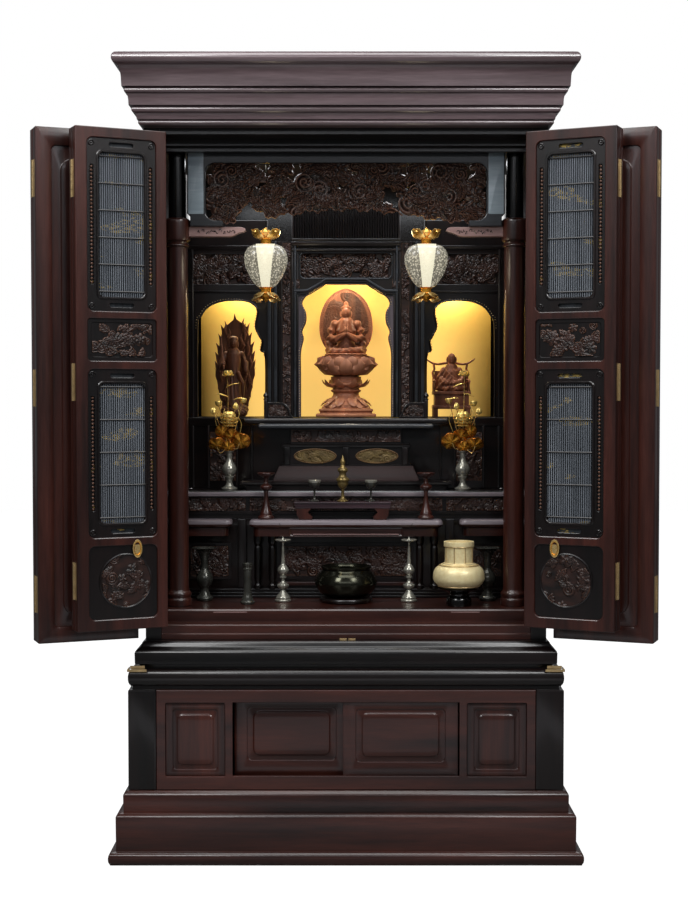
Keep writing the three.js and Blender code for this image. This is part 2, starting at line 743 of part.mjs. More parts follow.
function makeMonk() {
  const z = platformZ + 58 + 2 * gap;
  const x = monkX;
  const y = monkY - 10;
  const robe = turned([[0, 0], [32, 0], [33, 12], [27, 30], [23, 46], [11, 62], [0, 62]], x, y, z, 8);
  const sleeves = [-1, 1].map((s) => bar([x + s * 20, y, z + 44], [x + s * 9, y - 24, z + 20], 9, 7));
  const under = box(x - 50, x + 50, y - 50, y + 50, z - 20, z);
  const lap = cut(ellipsoid(32, 26, 12, x, y - 4, z + 8), under);
  const head = ellipsoid(11, 12, 14, x, y - 3, z + 72);
  place('monk', join(robe, lap, ...sleeves, head), figureWood);
}

// ---- Lanterns ----

const lanternX = 166;
const lanternY = -120;

// A crown of four petals that spread upwards or downwards from a stem.
function petals(x, y, z, reach, rise) {
  const tip = [reach, rise];
  return turned([[0, 0], [8, 0], tip, [reach - 4, rise + Math.sign(rise) * 3], [5, 8], [0, 8]], x, y, z, 4);
}

function makeLanterns() {
  for (const { name, sign } of sides) {
    const x = sign * lanternX;
    const y = lanternY;
    const shade = turned([
      [0, 1110], [6, 1114], [13, 1126], [12, 1138], [20, 1140], [36, 1156], [48, 1184], [46, 1208],
      [34, 1225], [12, 1229], [12, 1237], [0, 1264],
    ], x, y, 0, 8);
    const body = join(shade, petals(x, y, 1238, 32, 16), petals(x, y, 1122, 27, -9));
    place(`lantern_${name}`, body, frosted);
  }
}

// ---- Lotus bouquets and their vases ----

const bouquetX = 252;
const bouquetY = -4;

function makeLotusVase(x) {
  return vessel([
    [17, 0], [18, 5], [8, 14], [8, 26], [15, 38], [16, 46], [6, 68], [6, 78], [11, 85],
  ], 2.5, 66, x, bouquetY, tierZ + gap);
}

// Stems that rise from one stalk to flowers, buds and leaves.
function makeBouquet(x, sign) {
  const z = tierZ;
  const y = bouquetY;
  const stalk = bar([x, y, z + 78], [x, y, z + 150], 2, 2.2, 4);
  const heads = [
    { from: 140, at: [0, -8, 152], size: [21, 19, 13] },
    { from: 98, at: [sign * -24, -8, 106], size: [20, 14, 14] },
    { from: 92, at: [sign * 26, -8, 97], size: [19, 15, 12] },
    { from: 120, at: [sign * -30, 4, 192], size: [10, 8, 6] },
    { from: 104, at: [sign * 23, 2, 186], size: [8, 8, 9] },
    { from: 148, at: [sign * 4, 2, 254], size: [14, 9, 12] },
  ];
  const parts = [stalk];
  for (const { from, at, size } of heads) {
    const tip = [x + at[0], y + at[1], z + at[2]];
    parts.push(bar([x, y, z + from], tip, 1.8, 2, 3));
    parts.push(ellipsoid(...size, ...tip, 5, 3));
  }
  return join(...parts);
}

function makeBouquets() {
  for (const { name, sign } of sides) {
    place(`lotus_vase_${name}`, makeLotusVase(sign * bouquetX), darkMetal);
    place(`lotus_bouquet_${name}`, makeBouquet(sign * bouquetX, sign), goldLeaf);
  }
}

// ---- Implements on the shelf ----

const offeringTop = 691;
const offeringX = -7;
const offeringY = -57;

function makeOfferingStand() {
  const levels = [[677, 101, -75], [679, 103, -77], [689, 103, -77], [offeringTop, 101, -75]];
  const top = mouldedBlock(levels, -38);
  const legs = [-1, 1].map((s) => sideBox(s, 66, 96, -73, -41, deskZ + gap, 678));
  place('offering_stand', join(top, ...legs), rosewood).position.x = offeringX;
}

function makeOfferingCups() {
  for (const { name, sign } of sides) {
    const cup = vessel([
      [10, 0], [10, 2], [3, 5], [3, 22], [10, 27], [13.5, 46],
    ], 1.6, 27, offeringX + sign * 60, offeringY, offeringTop + gap);
    place(`offering_cup_${name}`, cup, darkMetal);
  }
}

function makeOfferingSpire() {
  const profile = [
    [0, 0], [12, 0], [12, 3], [4, 8], [4, 22], [11, 34], [11, 42], [14, 45], [14, 48], [7, 58],
    [11, 66], [4, 80], [5, 86], [1.5, 99], [0, 99],
  ];
  place('offering_spire', turned(profile, offeringX, offeringY, offeringTop + gap), darkMetal);
}

function makeFoodStands() {
  for (const { name, sign } of sides) {
    const stand = vessel([
      [17, 0], [17, 6], [6, 34], [4, 50], [5, 62], [13, 68], [13, 72], [5, 78], [5, 86], [16, 93], [19, 99],
    ], 2, 89, sign * 170, -55, deskZ + gap);
    place(`food_stand_${name}`, stand, rosewood);
  }
}

// ---- Implements on the floor of the room ----

function makeRinBowl() {
  const z = floorZ + gap;
  const stand = turned([[30, 0], [52, 0], [56, 5], [52, 11], [30, 11], [30, 0]], 0, -107, z, 10);
  place('bowl_stand', stand, ebony);
  const bowl = vessel([
    [34, 0], [54, 9], [65, 31], [62, 42], [52, 56], [53, 64],
  ], 2.5, 4, 0, -107, z + 11 + gap, 12);
  place('rin_bowl', bowl, darkMetal);
}

function makeIncenseBurner() {
  const x = 232;
  const y = -170;
  const z = floorZ + gap;
  const stand = turned([[0, 0], [25, 0], [25, 19], [20, 24], [26, 30], [40, 36], [0, 36]], x, y, z, 10);
  place('burner_stand', stand, ebony);
  const burner = vessel([
    [30, 0], [47, 8], [53, 27], [46, 44], [30, 52], [31, 96],
  ], 3, 5, x, y, z + 36 + gap, 12);
  place('incense_burner', burner, brass);
}

function makeFloorVessels() {
  const z = floorZ + gap;
  for (const { name, sign } of sides) {
    const vase = vessel([
      [17, 0], [18, 6], [9, 24], [17, 44], [17, 52], [8, 66], [8, 90], [27, 112],
    ], 2.2, 60, sign * 298, -90, z);
    place(`flower_vase_${name}`, vase, darkMetal);
    const candle = turned([
      [0, 0], [17, 0], [16, 10], [5, 26], [12, 34], [4, 50],
      [11, 62], [11, 70], [4, 82], [2.5, 124], [16, 128], [16, 131], [0, 138],
    ], sign * 132, -105, z);
    place(`candle_stand_${name}`, candle, darkMetal);
  }
  const holder = vessel([
    [14, 0], [15, 5], [8, 16], [8, 76], [11, 85],
  ], 2, 20, -204, -146, z);
  place('incense_holder', holder, darkMetal);
}

makePlinth();
makeLowerCarcass();
makeSlidingDoors();
makeWaistMouldings();
makeFloor();
makeSideWalls();
makeBackWall();
makeHeader();
makeCornice();
makeDoors();
makePillars();
makeTransomFrame();
makeTransomCarving();
makeShrineFront();
makeNicheFrames();
makeGoldBoard();
makePlatform();
makePedestal();
makeTier();
makeAltarBase();
makeLotusPedestal();
makeBuddha();
makeMandorla();
makeGuardian();
makeFlameHalo();
makeMonkChair();
makeMonk();
makeLanterns();
makeBouquets();
makeOfferingStand();
makeOfferingCups();
makeOfferingSpire();
makeFoodStands();
makeRinBowl();
makeIncenseBurner();
makeFloorVessels();

export default model;
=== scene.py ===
import math
import random
import bpy
import bmesh
import numpy as np
from mathutils import Matrix, Vector


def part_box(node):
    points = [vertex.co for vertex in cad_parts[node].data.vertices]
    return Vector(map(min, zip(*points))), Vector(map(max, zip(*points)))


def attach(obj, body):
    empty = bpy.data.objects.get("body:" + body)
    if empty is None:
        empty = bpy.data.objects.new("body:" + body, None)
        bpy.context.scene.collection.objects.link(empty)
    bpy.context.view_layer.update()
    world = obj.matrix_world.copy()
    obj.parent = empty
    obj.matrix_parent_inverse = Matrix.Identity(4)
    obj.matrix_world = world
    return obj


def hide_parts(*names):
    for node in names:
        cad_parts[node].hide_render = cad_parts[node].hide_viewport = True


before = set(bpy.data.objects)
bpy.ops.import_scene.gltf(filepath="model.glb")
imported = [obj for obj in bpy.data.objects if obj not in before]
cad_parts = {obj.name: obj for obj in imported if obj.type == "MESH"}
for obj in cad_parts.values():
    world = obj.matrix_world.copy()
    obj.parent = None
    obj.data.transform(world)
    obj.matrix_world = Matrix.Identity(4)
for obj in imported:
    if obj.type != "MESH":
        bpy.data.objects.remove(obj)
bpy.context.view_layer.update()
mm = 0.001
sides = (("left", -1), ("right", 1))

# camera and light

viewSettings = {
    "distance": 3355,  # in front of the cabinet's middle
    "height": 910,
    "pitch": 2.03,  # degrees downwards
    "lens": 61.7,
    "imageHeight": 907,
}

lightSettings = {
    "worldSeen": 1.0,
    "worldLight": 0.1,
    "key": 40,
    "top": 30,
    "rim": 20,
    "low": 1.1,
    "crown": 9,
    "ceiling": 1.3,
    "inside": 1.5,
    "niche": 1.3,
}


def makeCamera():
    data = bpy.data.cameras.new("camera")
    camera = bpy.data.objects.new("camera", data)
    bpy.context.collection.objects.link(camera)
    data.sensor_fit = "VERTICAL"
    data.sensor_height = 36
    data.lens = viewSettings["lens"]
    data.shift_x = -2 / viewSettings["imageHeight"]
    camera.location = (0, -viewSettings["distance"] * mm, viewSettings["height"] * mm)
    camera.rotation_euler = (math.radians(90 - viewSettings["pitch"]), 0, 0)
    bpy.context.scene.camera = camera


def areaLight(name, place, aim, width, height, power, color=(1, 1, 1)):
    data = bpy.data.lights.new(name, "AREA")
    data.shape = "RECTANGLE"
    data.size = width
    data.size_y = height
    data.energy = power
    data.color = color
    lamp = bpy.data.objects.new(name, data)
    lamp.location = place
    lamp.rotation_euler = (Vector(aim) - Vector(place)).to_track_quat("-Z", "Y").to_euler()
    bpy.context.collection.objects.link(lamp)


def pointLight(name, place, power, radius, color):
    data = bpy.data.lights.new(name, "POINT")
    data.energy = power
    data.shadow_soft_size = radius
    data.color = color
    lamp = bpy.data.objects.new(name, data)
    lamp.location = place
    bpy.context.collection.objects.link(lamp)


def makeWorld():
    world = bpy.data.worlds.new("studio")
    bpy.context.scene.world = world
    world.use_nodes = True
    nodes = world.node_tree.nodes
    links = world.node_tree.links
    nodes.clear()
    seen = nodes.new("ShaderNodeBackground")
    seen.inputs["Strength"].default_value = lightSettings["worldSeen"]
    lit = nodes.new("ShaderNodeBackground")
    lit.inputs["Color"].default_value = (0.93, 0.96, 1, 1)
    lit.inputs["Strength"].default_value = lightSettings["worldLight"]
    seen.inputs["Color"].default_value = (1, 1, 1, 1)
    path = nodes.new("ShaderNodeLightPath")
    mix = nodes.new("ShaderNodeMixShader")
    out = nodes.new("ShaderNodeOutputWorld")
    links.new(path.outputs["Is Camera Ray"], mix.inputs[0])
    links.new(lit.outputs[0], mix.inputs[1])
    links.new(seen.outputs[0], mix.inputs[2])
    links.new(mix.outputs[0], out.inputs["Surface"])


def makeLights():
    areaLight("keyLeft", (-1.7, -2.6, 3.1), (0, 0, 0.7), 1.0, 1.2, lightSettings["key"])
    areaLight("keyRight", (1.7, -2.6, 3.1), (0, 0, 0.7), 1.0, 1.2, lightSettings["key"])
    areaLight("topSoft", (0, -1.2, 3.2), (0, 0, 1.2), 2.2, 1.2, lightSettings["top"])
    areaLight("rimBack", (0, 2.4, 2.2), (0, 0, 1), 2.4, 1.6, lightSettings["rim"])
    areaLight("lowFront", (0, -1.15, 0.03), (0, -0.7, 1.5), 2.0, 0.5, lightSettings["low"], (0.94, 0.93, 1))
    areaLight("crownStrip", (0, -3.2, 2.17), (0, -0.4, 1.5), 3.2, 0.36, lightSettings["crown"],
              (0.92, 0.94, 1))
    areaLight("ceilingLamp", (0, -0.1, 1.405), (0, -0.1, 0), 0.56, 0.1, lightSettings["ceiling"],
              (0.93, 0.96, 1))
    warm = (1, 0.86, 0.62)
    for side, sign in sides:
        pointLight("nicheLamp." + side, (sign * 0.25, 0.2, 1.185), lightSettings["niche"], 0.02, warm)
        pointLight("lanternLamp." + side, (sign * 0.166, -0.26, 1.19), 0.16, 0.03, warm)
    pointLight("shrineLamp", (0, 0.075, 1.2), lightSettings["inside"], 0.02, warm)


# materials


def newGroup(name, ins, outs):
    group = bpy.data.node_groups.new(name, "ShaderNodeTree")
    for label, kind, value in ins:
        socket = group.interface.new_socket(label, in_out="INPUT", socket_type="NodeSocket" + kind)
        socket.default_value = value
    for label, kind in outs:
        group.interface.new_socket(label, in_out="OUTPUT", socket_type="NodeSocket" + kind)
    return group, group.nodes.new("NodeGroupInput"), group.nodes.new("NodeGroupOutput")


def mathNode(tree, operation, a, b=None, clamp=False):
    node = tree.nodes.new("ShaderNodeMath")
    node.operation = operation
    node.use_clamp = clamp
    for socket, value in zip(node.inputs, (a, b)):
        if value is None:
            continue
        if isinstance(value, (int, float)):
            socket.default_value = value
        else:
            tree.links.new(value, socket)
    return node.outputs[0]


def mixColor(tree, factor, a, b, blend="MIX"):
    node = tree.nodes.new("ShaderNodeMix")
    node.data_type = "RGBA"
    node.blend_type = blend
    for socket, value in ((node.inputs[0], factor), (node.inputs[6], a), (node.inputs[7], b)):
        if isinstance(value, (int, float)):
            socket.default_value = value
        elif isinstance(value, tuple):
            socket.default_value = value
        else:
            tree.links.new(value, socket)
    return node.outputs[2]


def noiseNode(tree, vector, scale, detail=4.0, rough=0.55):
    node = tree.nodes.new("ShaderNodeTexNoise")
    node.inputs["Detail"].default_value = detail
    node.inputs["Roughness"].default_value = rough
    if isinstance(scale, (int, float)):
        node.inputs["Scale"].default_value = scale
    else:
        tree.links.new(scale, node.inputs["Scale"])
    tree.links.new(vector, node.inputs["Vector"])
    return node.outputs[0]


# long streaks and fine pores of a polished hardwood, running along the axis with the small stretch
def makeGrainGroup():
    group, gin, gout = newGroup(
        "woodGrain",
        [
            ("Dark", "Color", (0.01, 0.004, 0.004, 1)),
            ("Light", "Color", (0.05, 0.015, 0.012, 1)),
            ("Stretch", "Vector", (1, 1, 0.06)),
            ("Scale", "Float", 26.0),
            ("Gloss", "Float", 0.3),
        ],
        [("Color", "Color"), ("Roughness", "Float"), ("Height", "Float")],
    )
    coords = group.nodes.new("ShaderNodeTexCoord")
    scaled = group.nodes.new("ShaderNodeVectorMath")
    scaled.operation = "MULTIPLY"
    group.links.new(coords.outputs["Object"], scaled.inputs[0])
    group.links.new(gin.outputs["Stretch"], scaled.inputs[1])
    bands = noiseNode(group, scaled.outputs[0], gin.outputs["Scale"], 5.0, 0.6)
    pores = noiseNode(group, scaled.outputs[0], mathNode(group, "MULTIPLY", gin.outputs["Scale"], 14), 2.0)
    sharp = mathNode(group, "MULTIPLY", mathNode(group, "SUBTRACT", bands, 0.32), 2.4, True)
    streak = mathNode(group, "MULTIPLY", sharp,
                      mathNode(group, "ADD", mathNode(group, "MULTIPLY", pores, 0.9), 0.45))
    group.links.new(mixColor(group, streak, gin.outputs["Dark"], gin.outputs["Light"]), gout.inputs["Color"])
    rough = mathNode(group, "ADD", gin.outputs["Gloss"], mathNode(group, "MULTIPLY", pores, 0.16))
    group.links.new(rough, gout.inputs["Roughness"])
    group.links.new(mathNode(group, "ADD", pores, mathNode(group, "MULTIPLY", bands, 0.5)),
                    gout.inputs["Height"])
    return group


# cloudy change of tone over metal, with darker hollows in the noise
def makePatinaGroup():
    group, gin, gout = newGroup(
        "patina",
        [
            ("Clean", "Color", (0.8, 0.6, 0.3, 1)),
            ("Aged", "Color", (0.3, 0.2, 0.1, 1)),
            ("Scale", "Float", 40.0),
            ("Amount", "Float", 0.5),
            ("Gloss", "Float", 0.25),
        ],
        [("Color", "Color"), ("Roughness", "Float"), ("Height", "Float")],
    )
    coords = group.nodes.new("ShaderNodeTexCoord")
    spots = noiseNode(group, coords.outputs["Object"], gin.outputs["Scale"], 6.0, 0.6)
    mask = mathNode(group, "MULTIPLY", mathNode(group, "SUBTRACT", spots, 0.38), 3.2, True)
    amount = mathNode(group, "MULTIPLY", mask, gin.outputs["Amount"])
    group.links.new(mixColor(group, amount, gin.outputs["Clean"], gin.outputs["Aged"]), gout.inputs["Color"])
    group.links.new(mathNode(group, "ADD", gin.outputs["Gloss"], mathNode(group, "MULTIPLY", amount, 0.3)),
                    gout.inputs["Roughness"])
    group.links.new(spots, gout.inputs["Height"])
    return group


# painted shade darkens the hollows and a painted highlight lightens the ridges, both from the mesh's own
# curvature
def makePaintedShadeGroup():
    group, gin, gout = newGroup(
        "paintedShadeAndHighlight",
        [("Color", "Color", (1, 1, 1, 1)), ("Shade", "Color", (0, 0, 0, 1)), ("Strength", "Float", 0.8),
         ("PaintedHighlight", "Color", (1, 1, 1, 1)), ("PaintedHighlightAmount", "Float", 0.3)],
        [("Color", "Color")],
    )
    point = group.nodes.new("ShaderNodeNewGeometry").outputs["Pointiness"]
    hollow = mathNode(group, "MULTIPLY", mathNode(group, "SUBTRACT", 0.5, point), 9, True)
    ridge = mathNode(group, "MULTIPLY", mathNode(group, "SUBTRACT", point, 0.51), 9, True)
    shaded = mixColor(group, mathNode(group, "MULTIPLY", hollow, gin.outputs["Strength"]),
                      gin.outputs["Color"], gin.outputs["Shade"])
    paintedHighlit = mixColor(group, mathNode(group, "MULTIPLY", ridge, gin.outputs["PaintedHighlightAmount"]), shaded,
                     gin.outputs["PaintedHighlight"])
    group.links.new(paintedHighlit, gout.inputs["Color"])
    return group


grainGroup = makeGrainGroup()
patinaGroup = makePatinaGroup()
paintedShadeGroup = makePaintedShadeGroup()


def rgb(r, g, b):
    return tuple((v / 255) ** 2.2 for v in (r, g, b)) + (1,)


def useGroup(material, group, values):
    node = material.node_tree.nodes.new("ShaderNodeGroup")
    node.node_tree = group
    for label, value in values.items():
        node.inputs[label].default_value = value
    return node


# a principled material fed by a surface group; relief is the bump's depth in metres
def surface(name, group, values, plain, relief=0.0, hollow=None):
    material = bpy.data.materials.new(name)
    material.use_nodes = True
    tree = material.node_tree
    shader = tree.nodes["Principled BSDF"]
    source = useGroup(material, group, values)
    color = source.outputs["Color"]
    if hollow:
        shade = useGroup(material, paintedShadeGroup, hollow)
        tree.links.new(color, shade.inputs["Color"])
        color = shade.outputs["Color"]
    tree.links.new(color, shader.inputs["Base Color"])
    tree.links.new(source.outputs["Roughness"], shader.inputs["Roughness"])
    if relief:
        bump = tree.nodes.new("ShaderNodeBump")
        bump.inputs["Distance"].default_value = relief
        bump.inputs["Strength"].default_value = 0.5
        tree.links.new(source.outputs["Height"], bump.inputs["Height"])
        tree.links.new(bump.outputs["Normal"], shader.inputs["Normal"])
    for label, value in plain.items():
        shader.inputs[label].default_value = value
    return material


upright = (1, 1, 0.07)
level = (0.07, 1, 1)
polish = {"Coat Weight": 0.55, "Coat Roughness": 0.16, "Specular IOR Level": 0.45}
roseTones = {"Dark": rgb(29, 14, 12), "Light": rgb(86, 45, 36), "Scale": 26.0, "Gloss": 0.26}
ebonyTones = {"Dark": rgb(8, 6, 6), "Light": rgb(32, 21, 20), "Scale": 30.0, "Gloss": 0.24}
# painted shade for the hollows and painted highlights for the ridges of figures and carvings
figurePaintedShading = {"Shade": rgb(48, 20, 12), "Strength": 0.9, "PaintedHighlight": rgb(214, 150, 112), "PaintedHighlightAmount": 0.4}
figureDarkPaintedShading = {"Shade": rgb(26, 12, 8), "Strength": 0.9, "PaintedHighlight": rgb(170, 112, 80), "PaintedHighlightAmount": 0.35}
carvedPaintedShading = {"Shade": rgb(4, 3, 3), "Strength": 1.0, "PaintedHighlight": rgb(150, 104, 78), "PaintedHighlightAmount": 0.5}


def wood(name, dark, light, scale, gloss, stretch, plain=polish, relief=0.0001, hollow=None):
    values = {"Dark": dark, "Light": light, "Scale": scale, "Gloss": gloss, "Stretch": stretch}
    return surface(name, grainGroup, values, plain, relief, hollow)


def metal(name, clean, aged, gloss, amount=0.5, scale=40.0, relief=0.0, hollow=None, metallic=0.6):
    values = {"Clean": clean, "Aged": aged, "Gloss": gloss, "Amount": amount, "Scale": scale}
    return surface(name, patinaGroup, values, {"Metallic": metallic}, relief, hollow)


finishes = {
    "rosewood": surface("rosewood", grainGroup, {**roseTones, "Stretch": upright}, polish, 0.00012),
    "rosewoodLevel": surface("rosewoodLevel", grainGroup, {**roseTones, "Stretch": level}, polish, 0.00012),
    "ebony": surface("ebony", grainGroup, {**ebonyTones, "Stretch": upright}, polish, 0.0001),
    "ebonyLevel": surface("ebonyLevel", grainGroup, {**ebonyTones, "Stretch": level}, polish, 0.0001),
    # the carved and figure woods take painted shade in their hollows and painted highlights on their ridges
    "carved": wood("carvedEbony", rgb(13, 8, 7), rgb(66, 40, 32), 60.0, 0.34, (0.3, 1, 1),
                   {"Coat Weight": 0.15, "Coat Roughness": 0.4}, 0.0001, carvedPaintedShading),
    "figure": wood("figureWood", rgb(112, 62, 42), rgb(186, 118, 84), 50.0, 0.48, upright,
                   {"Coat Weight": 0.08}, 0.0001, figurePaintedShading),
    "figureDark": wood("figureWoodDark", rgb(62, 34, 22), rgb(124, 76, 52), 60.0, 0.5, upright,
                       {"Coat Weight": 0.05}, 0.0001, figureDarkPaintedShading),
    "brass": metal("brass", rgb(206, 178, 130), rgb(132, 104, 66), 0.3, 0.5, 60.0),
    # gilt takes painted shade in its hollows and a painted highlight on its ridges
    "gilt": metal("giltBrass", rgb(255, 190, 72), rgb(206, 112, 28), 0.16, 0.65, 90.0, 0.0003,
                  {"Shade": rgb(130, 52, 8), "Strength": 0.9, "PaintedHighlight": rgb(255, 240, 178), "PaintedHighlightAmount": 0.8},
                  0.75),
    "darkMetal": metal("darkMetal", rgb(66, 66, 56), rgb(22, 22, 20), 0.12, 0.6, 30.0, metallic=0.9),
    "nickel": metal("agedNickel", rgb(176, 174, 162), rgb(74, 74, 66), 0.12, 0.6, 50.0),
    "champagne": metal("champagneBrass", rgb(252, 236, 184), rgb(222, 196, 134), 0.34, 0.6, 130.0, 0.0008,
                       None, 0.25),
}


def glowing(name, color, strength, base=(0.9, 0.85, 0.7, 1), rough=0.3):
    material = surface(name, patinaGroup, {"Clean": base, "Aged": tuple(v * 0.8 for v in base[:3]) + (1,),
                                           "Gloss": rough, "Amount": 0.4, "Scale": 220.0}, {"Metallic": 0.0})
    shader = material.node_tree.nodes["Principled BSDF"]
    shader.inputs["Emission Strength"].default_value = strength
    shader.inputs["Emission Color"].default_value = color
    return material


# beaded glass: bright dots on a dim clear ground
def beadedGlass():
    material = glowing("beadedGlass", (1, 0.9, 0.66, 1), 0.55, (0.2, 0.19, 0.16, 1), 0.12)
    tree = material.node_tree
    coords = tree.nodes.new("ShaderNodeTexCoord")
    cells = tree.nodes.new("ShaderNodeTexVoronoi")
    cells.inputs["Scale"].default_value = 270
    tree.links.new(coords.outputs["Object"], cells.inputs["Vector"])
    ramp = tree.nodes.new("ShaderNodeValToRGB")
    ramp.color_ramp.elements[0].color = (1, 0.92, 0.7, 1)
    ramp.color_ramp.elements[1].color = (0.09, 0.085, 0.065, 1)
    ramp.color_ramp.elements[0].position = 0.24
    ramp.color_ramp.elements[1].position = 0.5
    tree.links.new(cells.outputs["Distance"], ramp.inputs[0])
    tree.links.new(ramp.outputs[0], tree.nodes["Principled BSDF"].inputs["Emission Color"])
    return material


def frostedPanel():
    material = glowing("frostedGlass", (1, 0.94, 0.76, 1), 0.95, (0.2, 0.19, 0.15, 1))
    tree = material.node_tree
    coords = tree.nodes.new("ShaderNodeTexCoord")
    speckle = noiseNode(tree, coords.outputs["Object"], 420.0, 2.0)
    tree.links.new(mixColor(tree, speckle, (0.6, 0.56, 0.38, 1), (1, 0.95, 0.76, 1)),
                   tree.nodes["Principled BSDF"].inputs["Emission Color"])
    return material


# gold leaf with a painted glow, given as emission: brightest low down behind the figures and falling off
# towards the walls and the top
def glowPaintedLeaf():
    material = surface("goldLeaf", patinaGroup,
                       {"Clean": rgb(250, 208, 104), "Aged": rgb(214, 164, 70), "Scale": 9.0,
                        "Amount": 0.5, "Gloss": 0.45}, {"Metallic": 0.35})
    tree = material.node_tree
    shader = tree.nodes["Principled BSDF"]
    split = tree.nodes.new("ShaderNodeSeparateXYZ")
    tree.links.new(tree.nodes.new("ShaderNodeTexCoord").outputs["Object"], split.inputs[0])
    away = mathNode(tree, "ABSOLUTE", split.outputs[0])
    sideways = mathNode(tree, "MULTIPLY", mathNode(tree, "SUBTRACT", 0.33, away), 8.5, True)
    upwards = mathNode(tree, "MULTIPLY", mathNode(tree, "SUBTRACT", 1.19, split.outputs[2]), 6.0, True)
    # mask for the painted glow, strongest low in the middle
    paintedGlow = mathNode(tree, "MULTIPLY", sideways, upwards)
    tree.links.new(mixColor(tree, paintedGlow, (0.02, 0.012, 0.003, 1), (0.95, 0.6, 0.16, 1)),
                   shader.inputs["Emission Color"])
    shader.inputs["Emission Strength"].default_value = 0.85
    return material


# blue-grey gauze with small clusters of gilt strokes in a few horizontal drifts
def gauzeMaterial():
    material = surface("gauze", grainGroup,
                       {"Dark": rgb(34, 38, 42), "Light": rgb(78, 84, 90), "Scale": 70.0, "Gloss": 0.6,
                        "Stretch": (1, 1, 0.02)}, {"Sheen Weight": 0.3})
    tree = material.node_tree
    shader = tree.nodes["Principled BSDF"]
    source = shader.inputs["Base Color"].links[0].from_socket
    coords = tree.nodes.new("ShaderNodeTexCoord")
    drift = tree.nodes.new("ShaderNodeMapping")
    drift.inputs["Scale"].default_value = (1, 1, 3.2)
    tree.links.new(coords.outputs["Object"], drift.inputs[0])
    clusters = mathNode(tree, "GREATER_THAN", noiseNode(tree, drift.outputs[0], 11.0, 0.5), 0.61)
    strokes = mathNode(tree, "GREATER_THAN", noiseNode(tree, drift.outputs[0], 95.0, 2.0), 0.52)
    gilt = mathNode(tree, "MULTIPLY", clusters, strokes)
    tree.links.new(mixColor(tree, gilt, source, rgb(196, 166, 84)), shader.inputs["Base Color"])
    return material


finishes["beaded"] = beadedGlass()
finishes["frosted"] = frostedPanel()
finishes["leaf"] = glowPaintedLeaf()
finishes["gauze"] = gauzeMaterial()
finishes["reed"] = wood("paleReed", rgb(92, 98, 106), rgb(140, 146, 154), 40.0, 0.5, upright,
                        {"Sheen Weight": 0.2}, 0.0)
finishes["mauve"] = wood("mauveWood", rgb(118, 90, 88), rgb(182, 150, 146), 30.0, 0.35, level)
# dark grey wood, also put on the proudest ribs, the arch and rim tubes and a platform nose as a painted
# highlight
finishes["greyWoodAndSheen"] = wood("greyEbonyAndSheen", rgb(20, 22, 25), rgb(58, 62, 68), 18.0, 0.36, level)
finishes["spandrel"] = wood("spandrelWood", rgb(52, 44, 48), rgb(108, 98, 104), 90.0, 0.45, upright,
                            {"Coat Weight": 0.2}, 0.0002)
# painted sheen: a pale grey-lilac tint standing in for top light on the noses
finishes["noseSheen"] = wood("noseSheen", rgb(84, 74, 78), rgb(156, 146, 152), 20.0, 0.3, level)
# cornice wood tinted lighter and greyer as a painted reflection, under a strong coat
finishes["corniceSheen"] = wood("corniceWoodSheen", rgb(70, 54, 56), rgb(134, 114, 118), 26.0, 0.26, level,
                                {"Coat Weight": 1.0, "Coat Roughness": 0.2, "Coat IOR": 1.8}, 0.00012)
finishes["dullRose"] = wood("dullRosewood", rgb(22, 10, 10), rgb(56, 26, 24), 26.0, 0.6, level,
                            {"Coat Weight": 0.0})
# dim gold takes the carvings' painted shade in hollows and painted highlights on ridges
finishes["dimGold"] = surface("dimGold", patinaGroup,
                              {"Clean": rgb(112, 94, 56), "Aged": rgb(60, 48, 30), "Scale": 60.0,
                               "Amount": 0.7, "Gloss": 0.5}, {"Metallic": 0.3}, 0.0002, carvedPaintedShading)
finishes["darkMauve"] = wood("darkMauve", rgb(40, 24, 30), rgb(86, 62, 70), 30.0, 0.3, level)
# pale blue-grey painted light for the lit side stiles of the transom frame
finishes["paintedLitStile"] = wood("paintedLitStile", rgb(120, 136, 146), rgb(176, 190, 200), 18.0, 0.4, (0.1, 1, 1))
finishes["lac"] = wood("blackLacquer", rgb(3, 3, 4), rgb(10, 10, 12), 20.0, 0.12, (1, 1, 1), polish, 0.0)

# mesh tools, all in millimetres


# the angles of points spread evenly round a circle
def turns(count):
    return [2 * math.pi * k / count for k in range(count)]


class Piece:
    def __init__(self, name, matrix=None):
        self.name = name
        self.matrix = matrix
        self.verts = []
        self.faces = []
        self.faceFinish = []
        self.used = []

    def add(self, verts, faces, finish):
        start = len(self.verts)
        if finish not in self.used:
            self.used.append(finish)
        slot = self.used.index(finish)
        self.verts.extend(tuple(map(float, v)) for v in verts)
        self.faces.extend(tuple(start + i for i in face) for face in faces)
        self.faceFinish.extend([slot] * len(faces))
        return self

    # turns everything added since a mark to face the other way in depth
    def turnBack(self, vertMark, faceMark, about):
        for i in range(vertMark, len(self.verts)):
            x, y, z = self.verts[i]
            self.verts[i] = (x, 2 * about - y, z)
        for i in range(faceMark, len(self.faces)):
            self.faces[i] = tuple(reversed(self.faces[i]))

    def place(self, body, slot, *replaced, crease=34):
        mesh = bpy.data.meshes.new(self.name)
        mesh.from_pydata(self.verts, [], self.faces)
        mesh.transform(Matrix.Scale(mm, 4))
        flip = False
        if self.matrix is not None:
            mesh.transform(self.matrix)
            flip = self.matrix.determinant() < 0
        for finish in self.used:
            mesh.materials.append(finishes[finish])
        mesh.polygons.foreach_set("material_index", self.faceFinish)
        mesh.validate()
        if flip:
            mesh.flip_normals()
        mesh.shade_smooth()
        mesh.set_sharp_from_angle(angle=math.radians(crease))
        obj = bpy.data.objects.new(self.name, mesh)
        bpy.context.collection.objects.link(obj)
        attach(obj, body)
        if replaced:
            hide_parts(*replaced)
        return obj


